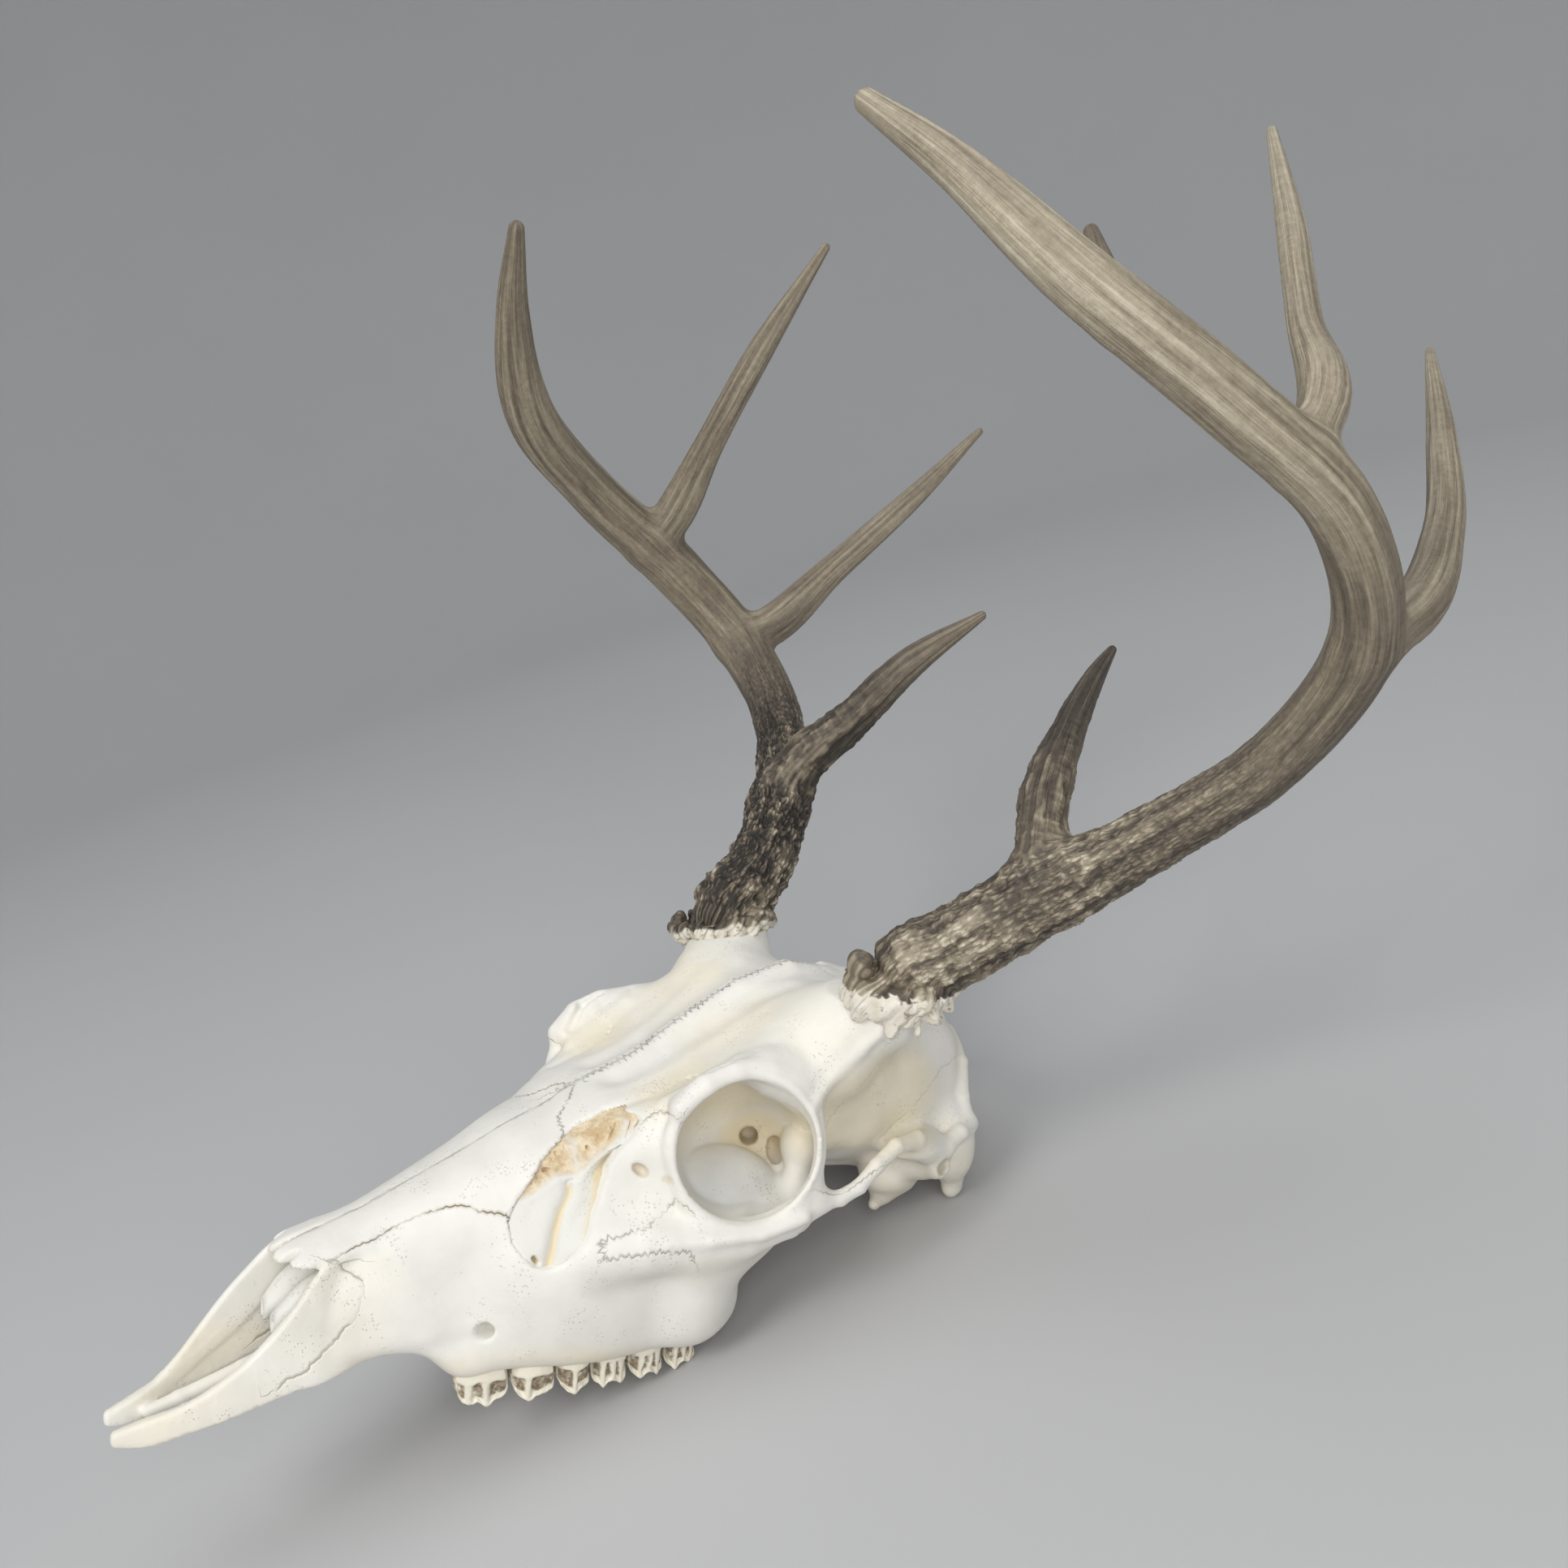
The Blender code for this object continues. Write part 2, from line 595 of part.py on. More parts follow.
def make_antler(name, beam, tines, burr):
    """Block out, melt and sculpt one whole antler."""
    features = antler_features(beam, tines, burr)
    bm = bmesh.new()
    for feature, _ in features:
        feature.clay(bm, WHOLE)
    antler = mesh_object(name, bm)
    fuse(antler, ANTLER_VOXEL)

    def field(p):
        value = np.full(len(p), 1e3)
        for feature, fillet in features:
            value = soft_min(value, feature.field(p), fillet)
        return value

    sculpt(antler, field, 5)
    return antler


# ---------------------------------------------------------------- parting into named pieces

def halfspace(point, normal, side):
    """Big block on one side of a plane, set back from it by half the gap."""
    size = 2000.0
    normal = Vector(normal).normalized() * side
    place = Matrix.Translation(Vector(point) + normal * (size / 2 + GAP / 2))
    aim = normal.to_track_quat("Z", "Y").to_matrix().to_4x4()
    bm = bmesh.new()
    bmesh.ops.create_cube(bm, size=size, matrix=place @ aim)
    return mesh_object("halfspace", bm)


def keep_side(piece, point, normal, side):
    """Trim an object to one side of a plane."""
    block = halfspace(point, normal, side)
    boolean(piece, block, "INTERSECT")
    discard(block)


def part(piece, name, point, normal):
    """Cut the stretch on the plane's positive side off as a new named piece."""
    other = bpy.data.objects.new(name, piece.data.copy())
    bpy.context.scene.collection.objects.link(other)
    keep_side(other, point, normal, 1)
    keep_side(piece, point, normal, -1)
    return other


def triangles(piece):
    """Number of triangles in an object's mesh."""
    return sum(len(face.vertices) - 2 for face in piece.data.polygons)


def thin_out(piece, count):
    """Collapse a dense mesh to about this many triangles."""
    step = piece.modifiers.new("thin", "DECIMATE")
    step.ratio = count / triangles(piece)
    apply_modifiers(piece)


def at_length(stations, length):
    """Point and direction at a length along a beam."""
    points = route(stations, 2.0)[:, :3]
    along = np.r_[0, np.cumsum(np.linalg.norm(np.diff(points, axis=0), axis=1))]
    i = min(np.searchsorted(along, length), len(points) - 2)
    return points[i], unit(points[i + 1] - points[i - 1])


def near_length(stations, point):
    """Length along a beam of the spot nearest to a point."""
    points = route(stations, 2.0)[:, :3]
    along = np.r_[0, np.cumsum(np.linalg.norm(np.diff(points, axis=0), axis=1))]
    return along[np.argmin(np.linalg.norm(points - np.array(point[:3]), axis=1))]


def take_off(piece, name, point, normal, narrow, wide, reach):
    """Cut a tine off the beam at a point, inside a widening cone that nothing else enters."""
    normal = Vector(normal).normalized()
    aim = normal.to_track_quat("Z", "Y").to_matrix().to_4x4()
    other = bpy.data.objects.new(name, piece.data.copy())
    bpy.context.scene.collection.objects.link(other)
    for target, start, operation in ((other, GAP / 2, "INTERSECT"), (piece, -GAP / 2, "DIFFERENCE")):
        place = Matrix.Translation(Vector(point) + normal * (start + reach / 2)) @ aim
        bm = bmesh.new()
        bmesh.ops.create_cone(bm, cap_ends=True, segments=24, radius1=narrow, radius2=wide,
                              depth=reach, matrix=place)
        cone = mesh_object("cone", bm)
        boolean(target, cone, operation)
        discard(cone)
    return other


def part_antler(antler, side, beam, tines):
    """Cut the main tines off an antler's beam, and the beam into lengths at its forks."""
    names = {"brow_tine": "lower_beam", "second_tine": "middle_beam", "third_tine": "upper_beam"}
    pieces = []
    for tine in names:
        root, radius = np.array(tines[tine][0][:3]), tines[tine][0][3]
        out = unit(tines[tine][2][:3] - root)
        point = root + (radius + 10.0) * out
        pieces.append(take_off(antler, side + "_" + tine, point, out, 20.0, 70.0, 170.0))
    stretch = antler
    for tine, name in names.items():
        root = tines[tine][0]
        point, heading = at_length(beam, near_length(beam, root) + root[3] + 4.0)
        beyond = part(stretch, side + "_" + name, point, heading)
        pieces.append(stretch)
        stretch = beyond
    pieces.append(stretch)
    return pieces


def part_skull(skull):
    """Cut the skull along its main joints into its named bones."""
    middle = (0, 0, 0), (1, 0, 0)
    skull.name = "jaw_right"
    cranium = part(skull, "eye_socket_right", (0, 178, 20), (0, 0.875, 0.484))
    nose = part(skull, "nasal_right", (0, 44, 46.5), (0, -0.23, 1.0))
    front = part(skull, "premaxilla_right", (0, 66, 50), (0, -0.922, 0.388))
    pieces = [skull, nose, front]
    pieces.append(part(skull, "jaw_left", *middle))
    pieces.append(part(nose, "nasal_left", *middle))
    pieces.append(part(front, "premaxilla_left", *middle))
    rear = part(cranium, "braincase", (0, 203, 50), (0, 0.828, -0.560))
    seats = part(cranium, "antler_seat_right", (0, 203, 60), (0, 0.956, 0.292))
    pieces.append(part(seats, "antler_seat_left", *middle))
    forehead = part(cranium, "forehead", (-27, 0, 0), (1, 0, 0))
    pieces.append(part(forehead, "eye_socket_left", (27, 0, 0), (1, 0, 0)))
    pieces += [cranium, seats, forehead]
    occiput = part(rear, "occiput", (0, 236, 40), (0, 0.929, -0.371))
    pieces.append(part(rear, "cheek_arch_left", (46.5, 0, 0), (1, 0, 0)))
    pieces.append(part(rear, "cheek_arch_right", (-46.5, 0, 0), (-1, 0, 0)))
    pieces += [rear, occiput]
    return pieces


# ---------------------------------------------------------------- finish

BONE = ("bone", (0.86, 0.83, 0.74), 0.55)
ANTLER = ("antler", (0.33, 0.24, 0.16), 0.6)


def paint(pieces, name, colour, roughness):
    """Give pieces one plain material each, of the same look."""
    for piece in pieces:
        material = bpy.data.materials.new(name)
        material.use_nodes = True
        shader = material.node_tree.nodes["Principled BSDF"]
        shader.inputs["Base Color"].default_value = (*colour, 1.0)
        shader.inputs["Roughness"].default_value = roughness
        piece.data.materials.clear()
        piece.data.materials.append(material)


def main():
    for old in list(bpy.data.objects):
        bpy.data.objects.remove(old)
    skull = make_skull()
    thin_out(skull, SKULL_TRIANGLES)
    antlers = []
    for side, beam, tines, burr in (("left", LEFT_BEAM, LEFT_TINES, LEFT_BURR),
                                    ("right", RIGHT_BEAM, RIGHT_TINES, RIGHT_BURR)):
        antler = make_antler(side + "_antler_base", beam, tines, burr)
        thin_out(antler, ANTLER_TRIANGLES)
        centre, axis, _ = burr
        seat = np.array(centre) - SEAT_DEPTH * unit(axis)
        keep_side(skull, seat, axis, -1)
        keep_side(antler, seat, axis, 1)
        antlers += part_antler(antler, side, beam, tines)
    bones = part_skull(skull)
    for piece in bones + antlers:
        if not piece.name.startswith("premaxilla"):
            thin_out(piece, LAST_THINNING * triangles(piece))
    rest = Matrix.Scale(MM, 4) @ Matrix.Translation(REST_SHIFT)
    rest = rest @ Matrix.Rotation(math.radians(-REST_PITCH), 4, "X")
    for piece in bones + antlers:
        piece.data.transform(rest)
    paint(bones, *BONE)
    paint(antlers, *ANTLER)


main()
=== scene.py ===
# %% [markdown]
# # The skull of a white-tailed buck, with its antlers
# A cleaned skull is one thin shell of fused bones, with the teeth set into its jaws and two rough
# antlers standing on bony stalks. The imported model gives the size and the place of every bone.
# Here each plain solid is exchanged for a finely sculpted piece that fills the same space.

import math

import bmesh
import bpy
import numpy as np
from mathutils import Euler, Matrix, Vector


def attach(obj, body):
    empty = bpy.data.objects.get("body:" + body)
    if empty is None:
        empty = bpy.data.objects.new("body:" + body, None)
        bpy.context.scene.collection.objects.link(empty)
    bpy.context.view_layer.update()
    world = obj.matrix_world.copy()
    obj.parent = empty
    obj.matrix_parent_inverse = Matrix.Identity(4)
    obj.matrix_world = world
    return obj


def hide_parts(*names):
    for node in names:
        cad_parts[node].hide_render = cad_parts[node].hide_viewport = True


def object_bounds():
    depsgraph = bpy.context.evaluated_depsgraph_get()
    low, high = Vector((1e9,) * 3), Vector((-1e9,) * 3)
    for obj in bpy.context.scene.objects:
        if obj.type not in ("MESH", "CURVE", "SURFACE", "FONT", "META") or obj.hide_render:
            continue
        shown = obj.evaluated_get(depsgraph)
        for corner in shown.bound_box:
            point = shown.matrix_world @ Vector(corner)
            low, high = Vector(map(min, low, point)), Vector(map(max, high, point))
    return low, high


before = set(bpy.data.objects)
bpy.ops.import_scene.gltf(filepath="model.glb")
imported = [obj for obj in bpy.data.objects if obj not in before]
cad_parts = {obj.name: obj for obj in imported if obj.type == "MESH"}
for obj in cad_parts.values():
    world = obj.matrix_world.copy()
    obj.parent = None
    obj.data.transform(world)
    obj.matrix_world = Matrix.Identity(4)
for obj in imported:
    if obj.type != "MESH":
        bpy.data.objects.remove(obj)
cad_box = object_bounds()
print("packed nodes:", len(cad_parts))

# %% [markdown]
# The skull is drawn in its own frame, in millimetres: x to the deer's left, y back from the tip
# of the nose, z up from the chewing plane of the teeth. A loose skull rests on its last teeth and
# on the processes beside the neck joint, so one turn and one shift lay the drawing down.

# %% Lay the skull's own frame down
MM = 0.001
REST_PITCH = 18.8
REST_SHIFT = (0.95, -235.69, 51.37)
LAY = Matrix.Translation(REST_SHIFT) @ Matrix.Rotation(math.radians(-REST_PITCH), 4, "X")
REST = Matrix.Scale(MM, 4) @ LAY
print("tip of the nose at", [round(v, 4) for v in REST @ Vector((4, 0, 6))], "m")

# %% [markdown]
# The camera stands in front of the deer's left cheek, a little above the eye, and is rolled, as
# the skull in the picture hangs nose down. It is placed in the skull's frame and laid down with it.

# %% Set the camera
CAMERA_PLACE = Vector((455.5, -54.1, 237.5))
CAMERA_LOOK = Vector((-0.8542, 0.5079, -0.1113))
CAMERA_UP = Vector((-0.1025, 0.0453, 0.9937))
LENS = 36.385                # for a sensor 36 mm wide


def new_object(name, data):
    """A new object in the scene."""
    made = bpy.data.objects.new(name, data)
    bpy.context.scene.collection.objects.link(made)
    return made


def set_camera():
    """Camera at the picture's own place."""
    look = CAMERA_LOOK.normalized()
    right = look.cross(CAMERA_UP).normalized()
    turn = Matrix((right, right.cross(look), -look)).transposed()
    data = bpy.data.cameras.new("camera")
    data.lens = LENS
    data.sensor_width = 36.0
    camera = new_object("camera", data)
    camera.matrix_world = Matrix.Translation(REST @ CAMERA_PLACE) @ (LAY.to_3x3() @ turn).to_4x4()
    bpy.context.scene.camera = camera
    return camera


camera = set_camera()
print("camera height", round(camera.matrix_world.translation.z, 3), "m")

# %% [markdown]
# Bone has no flat faces and no hard joints, so it isn't built from panels. Each swelling, bar and
# hollow is a simple closed shape that also knows its own distance field: clay is laid down as
# those shapes, melted into one skin by a voxel remesh, and then every vertex is drawn onto the
# blended field. That is sculpting with a rule in place of a brush, and it can be run again.

# %% Distance fields and how they blend
def unit(vector):
    """A vector scaled to length one."""
    vector = np.array(vector, float)
    return vector / np.linalg.norm(vector)


def beside(p, a, b):
    """How far along the line from a to b points lie, from 0 to 1, and their offset from it."""
    run = b - a
    t = np.clip((p - a) @ run / (run @ run), 0.0, 1.0)
    return t, p - a - t[:, None] * run


def soft_min(a, b, radius):
    """Union of two distances, with a hollow fillet of about this radius."""
    mix = np.clip(0.5 + 0.5 * (b - a) / radius, 0.0, 1.0)
    return b * (1.0 - mix) + a * mix - radius * mix * (1.0 - mix)


def soft_max(a, b, radius):
    """Intersection of two distances, with a rounded edge of about this radius."""
    return -soft_min(-a, -b, radius)


def add_features(value, points, features):
    """Blend features into a distance, each with its own fillet."""
    for feature, fillet in features:
        value = soft_min(value, feature.field(points), fillet)
    return value


def sink_features(value, points, features):
    """Take features out of a distance, each with its own rounded edge."""
    for feature, edge in features:
        value = soft_max(value, -feature.field(points), edge)
    return value


def fade(low, high, value):
    """Smooth step from 0 at low to 1 at high."""
    t = np.clip((value - low) / (high - low), 0.0, 1.0)
    return t * t * (3.0 - 2.0 * t)


def curve_value(y, stations, values):
    """Smooth curve through values given at rising stations, flat beyond the ends."""
    stations = np.array(stations, float)
    values = np.array(values, float)
    slopes = np.gradient(values, stations)
    y = np.clip(y, stations[0], stations[-1])
    i = np.clip(np.searchsorted(stations, y) - 1, 0, len(stations) - 2)
    step = stations[i + 1] - stations[i]
    t = (y - stations[i]) / step
    start = (1 + 2 * t) * (1 - t) ** 2 * values[i] + t * (1 - t) ** 2 * step * slopes[i]
    end = t * t * (3 - 2 * t) * values[i + 1] - t * t * (1 - t) * step * slopes[i + 1]
    return start + end


def pour(source, target):
    """Move everything in one bmesh into another."""
    mesh = bpy.data.meshes.new("pour")
    source.to_mesh(mesh)
    source.free()
    target.from_mesh(mesh)
    bpy.data.meshes.remove(mesh)

# %% [markdown]
# Four shapes are enough for a skull: an egg for a swelling, a tapered stem for a bar or a crest, a
# ring for the edge of the eye socket, and a loft for a body whose section changes along the
# skull. Each lays down its own clay with bmesh operators, and each answers how far a point is off it.

# %% Egg, for a swelling
class Egg:
    """Ellipsoid with half sizes along x, y and z, turned by degrees about its centre."""

    def __init__(self, centre, half, turn=(0, 0, 0)):
        self.centre = np.array(centre, float)
        self.half = np.array(half, float)
        self.turn = Euler([math.radians(angle) for angle in turn]).to_matrix()

    def field(self, p):
        q = (p - self.centre) @ np.array(self.turn)
        near = np.sqrt(((q / self.half) ** 2).sum(axis=1))
        slope = np.sqrt(((q / self.half ** 2) ** 2).sum(axis=1))
        return near * (near - 1.0) / np.maximum(slope, 1e-6)

    def clay(self, bm, side):
        place = side @ Matrix.Translation(self.centre) @ self.turn.to_4x4()
        shape = place @ Matrix.Diagonal((*self.half, 1.0))
        bmesh.ops.create_icosphere(bm, subdivisions=4, radius=1.0, matrix=shape)

# %% Stem, for a bar or a crest
class Stem:
    """Tapered tube through stations (x, y, z, radius), thinned by a factor along one axis."""

    def __init__(self, stations, thin=None, factor=1.0):
        self.points = np.array([s[:3] for s in stations], float)
        self.radii = np.array([s[3] for s in stations], float)
        self.thin = unit(thin) if thin is not None else None
        self.factor = factor

    def field(self, p):
        best = np.full(len(p), 1e9)
        for a, b, r, s in zip(self.points, self.points[1:], self.radii, self.radii[1:]):
            t, q = beside(p, a, b)
            if self.thin is not None:
                q = q + (self.factor - 1.0) * (q @ self.thin)[:, None] * self.thin
            best = soft_min(best, np.sqrt((q * q).sum(axis=1)) - (r + t * (s - r)), 1.0)
        if self.thin is not None:
            best = best / math.sqrt(self.factor)
        return best

    def squash(self):
        if self.thin is None:
            return Matrix.Identity(4)
        return Matrix.Scale(1.0 / self.factor, 4, Vector(self.thin))

    def clay(self, bm, side):
        for a, b, r, s in zip(self.points, self.points[1:], self.radii, self.radii[1:]):
            run = Vector(b - a)
            aim = run.to_track_quat("Z", "Y").to_matrix().to_4x4()
            place = side @ Matrix.Translation((a + b) / 2) @ self.squash() @ aim
            bmesh.ops.create_cone(bm, cap_ends=True, segments=20, radius1=r, radius2=s,
                                  depth=run.length, matrix=place)
        for a, r in zip(self.points, self.radii):
            place = side @ Matrix.Translation(a) @ self.squash()
            bmesh.ops.create_icosphere(bm, subdivisions=3, radius=r, matrix=place)

# %% Ring, for the edge of the eye socket
class Ring:
    """Round bead bent into a ring about an axis."""

    def __init__(self, centre, axis, radius, bead):
        self.centre = np.array(centre, float)
        self.axis = unit(axis)
        self.radius = radius
        self.bead = bead

    def field(self, p):
        q = p - self.centre
        height = q @ self.axis
        out = np.linalg.norm(q - height[:, None] * self.axis, axis=1) - self.radius
        return np.hypot(out, height) - self.bead

    def clay(self, bm, side):
        aim = Vector(self.axis).to_track_quat("Z", "Y").to_matrix().to_4x4()
        place = side @ Matrix.Translation(self.centre) @ aim
        start = Matrix.Translation((self.radius, 0, 0)) @ Matrix.Rotation(math.pi / 2, 4, "X")
        ring = bmesh.new()
        bmesh.ops.create_circle(ring, segments=16, radius=self.bead, matrix=start)
        bmesh.ops.spin(ring, geom=ring.verts[:] + ring.edges[:], cent=(0, 0, 0),
                       axis=(0, 0, 1), angle=2 * math.pi, steps=48, use_merge=True)
        bmesh.ops.transform(ring, matrix=place, verts=ring.verts)
        pour(ring, bm)

# %% Loft, for a body whose section changes
class Loft:
    """Body along y: each station gives y, z top, z bottom, and inner and outer x at both."""

    def __init__(self, stations, rounding, bulge=1.0, arch=0.0):
        rows = np.array(stations, float)
        self.y = rows[:, 0]
        self.rows = rows[:, 1:].T
        self.rounding = rounding
        self.bulge = bulge
        self.arch = arch

    def section(self, y):
        return [curve_value(y, self.y, row) for row in self.rows]

    def field(self, p):
        x, y, z = p.T
        top, low, in_top, out_top, in_low, out_low = self.section(y)
        t = np.clip((z - low) / (top - low), 0.0, 1.0) ** self.bulge
        outer = x - (out_low + t * (out_top - out_low))
        inner = (in_low + t * (in_top - in_low)) - x
        lean = (out_top - out_low) / (top - low)
        slope = np.sqrt(1.0 + lean * lean)
        side = soft_max(outer / slope, inner / slope, self.rounding)
        crown = top - self.arch * (x / out_top) ** 2
        cap = soft_max(z - crown, low - z, self.rounding)
        ends = np.maximum(self.y[0] - y, y - self.y[-1])
        return soft_max(soft_max(side, cap, self.rounding), ends, self.rounding)

    def clay(self, bm, side):
        block = bmesh.new()
        bmesh.ops.create_cube(block, size=2.0)
        bmesh.ops.subdivide_edges(block, edges=block.edges[:], cuts=14, use_grid_fill=True)
        y = np.array([(v.co.y + 1.0) / 2.0 for v in block.verts])
        y = self.y[0] + y * (self.y[-1] - self.y[0])
        columns = np.array(self.section(y)).T
        shrink = 0.9
        for vert, along, row in zip(block.verts, y, columns):
            top, low, in_top, out_top, in_low, out_low = row
            t = (vert.co.z * shrink + 1.0) / 2.0
            u = (vert.co.x * shrink + 1.0) / 2.0
            inner = in_low + t ** self.bulge * (in_top - in_low)
            outer = out_low + t ** self.bulge * (out_top - out_low)
            across = inner + u * (outer - inner)
            crown = top - self.arch * (across / out_top) ** 2
            vert.co = side @ Vector((across, along, low + t * (crown - low)))
        pour(block, bm)


def even(stations):
    """Loft across the middle from rows y, top, bottom, half width at top and at bottom."""
    return [(y, top, low, -wide_top, wide_top, -wide_low, wide_low)
            for y, top, low, wide_top, wide_low in stations]

# %% [markdown]
# Paired bones are drawn once, on the deer's left, on a slim plan. A slight shear widens each half
# and brings its outer side forward, and a mirror makes the other half. The field folds a point
# back the same way, so both halves answer to one drawing.

# %% Mirror and widen
WIDEN = 1.09
FORWARD = 0.05
RAISE = 0.02
LEFT = Matrix(((WIDEN, 0, 0, 0), (-FORWARD, 1, 0, 0), (RAISE, 0, 1, 0), (0, 0, 0, 1)))
RIGHT = Matrix.Scale(-1.0, 4, (1, 0, 0)) @ LEFT
WHOLE = Matrix.Identity(4)


def folded(p):
    """Points folded onto the deer's left side, smoothly across the midline."""
    return np.column_stack([np.sqrt(p[:, 0] ** 2 + 1.0) - 1.0, p[:, 1], p[:, 2]])


def slimmed(w):
    """Folded points brought back to the slim plan."""
    slim = w[:, 0] / WIDEN
    return np.column_stack([slim, w[:, 1] + FORWARD * slim, w[:, 2] - RAISE * slim])

# %% [markdown]
# The clay becomes bone in four moves: a voxel remesh melts it into one skin, a boolean opens the
# hollows, every vertex is drawn along its normal onto the blended field, and a collapse spends
# the triangles where the surface curves.

# %% Melt and cut a mesh
def mesh_object(name, bm):
    """Put a bmesh into a new linked object."""
    mesh = bpy.data.meshes.new(name)
    bmesh.ops.recalc_face_normals(bm, faces=bm.faces[:])
    bm.to_mesh(mesh)
    bm.free()
    return new_object(name, mesh)


def apply_modifiers(piece):
    """Replace an object's mesh by its evaluated mesh and drop the modifiers."""
    graph = bpy.context.evaluated_depsgraph_get()
    mesh = bpy.data.meshes.new_from_object(piece.evaluated_get(graph))
    piece.modifiers.clear()
    old = piece.data
    piece.data = mesh
    bpy.data.meshes.remove(old)


def fuse(piece, voxel):
    """Melt an object's closed shapes into one skin."""
    remesh = piece.modifiers.new("fuse", "REMESH")
    remesh.mode = "VOXEL"
    remesh.voxel_size = voxel
    apply_modifiers(piece)


def thin_out(piece, count):
    """Collapse a dense mesh to about this many triangles, most of them where it curves."""
    triangles = sum(len(face.vertices) - 2 for face in piece.data.polygons)
    if triangles > count:
        step = piece.modifiers.new("thin", "DECIMATE")
        step.ratio = count / triangles
        apply_modifiers(piece)


def stiffen(piece, thickness, offset):
    """Give a sheet its thickness."""
    shell = piece.modifiers.new("shell", "SOLIDIFY")
    shell.thickness = thickness
    shell.offset = offset
    apply_modifiers(piece)


def lay_clay(bm, features, sides=(LEFT, RIGHT)):
    """Add the simple closed shapes of some features, on each of the given sides."""
    for feature in features:
        for side in sides:
            feature.clay(bm, side)


def clay_object(name, features, voxel):
    """Block out features on both sides and melt them into one skin."""
    bm = bmesh.new()
    lay_clay(bm, features)
    piece = mesh_object(name, bm)
    fuse(piece, voxel)
    return piece


def cut_away(piece, cutter):
    """Cut one closed object out of another, and throw the cutter away."""
    step = piece.modifiers.new("cut", "BOOLEAN")
    step.operation = "DIFFERENCE"
    step.solver = "EXACT"
    step.object = cutter
    apply_modifiers(piece)
    mesh = cutter.data
    bpy.data.objects.remove(cutter)
    bpy.data.meshes.remove(mesh)

# %% Read, move and sculpt its vertices
def rows_of(source, name):
    """Three numbers for each entry of a mesh's list, as an array with a row for each."""
    values = np.empty(len(source) * 3, np.float32)
    source.foreach_get(name, values)
    return values.reshape(-1, 3).astype(float)


def places_of(mesh):
    """Vertex places."""
    return rows_of(mesh.vertices, "co")


def normals_of(mesh):
    """Vertex normals."""
    return rows_of(mesh.vertex_normals, "vector")


def set_places(mesh, points):
    """Write vertex places back into a mesh."""
    mesh.vertices.foreach_set("co", points.astype(np.float32).ravel())
    mesh.update()


def sculpt(piece, field, steps, relaxed=0, reach=2.0):
    """Draw every vertex along its normal onto the field, after a relaxing pass in some steps."""
    mesh = piece.data
    for step in range(steps):
        if step < relaxed:
            bm = bmesh.new()
            bm.from_mesh(mesh)
            bmesh.ops.smooth_vert(bm, verts=bm.verts, factor=0.5, use_axis_x=True,
                                  use_axis_y=True, use_axis_z=True)
            bm.to_mesh(mesh)
            bm.free()
        points = places_of(mesh)
        move = np.clip(field(points), -reach, reach)
        set_places(mesh, points - move[:, None] * normals_of(mesh))

# %% [markdown]
# ## The skull
# The masses are the muzzle, the forehead, the brain case and the nape, with the swellings over
# the tooth roots and the ears. The bars are the parts that stand clear: the ring round the eye,
# the cheek arch and the crests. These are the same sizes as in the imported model.

# %% Masses of the face and the brain case
EYE_CENTRE = (47.4, 176.0, 74.2)
EYE_AXIS = (1.0, -0.256, 0.12)
EYE_RIM = 23.3
EYE_BEAD = 2.1
LEFT_BURR = ((55.5, 226.5, 119.5), (0.16, -0.05, 0.985), 15.5)
RIGHT_BURR = ((-55.0, 223.5, 119.5), (-0.16, -0.05, 0.985), 16.5)
STALK_END = -3.2             # where a stalk stops, measured from the middle of its burr
STALK_REACH = 26.0           # how far from that middle the stalk is cut


def above_burr(p, burr):
    """How high points lie over the middle of a burr, along its axis."""
    return (p - np.array(burr[0])) @ unit(burr[1])


def shapes(features):
    """The shapes alone, of a list of shapes with their fillets."""
    return [shape for shape, _ in features]


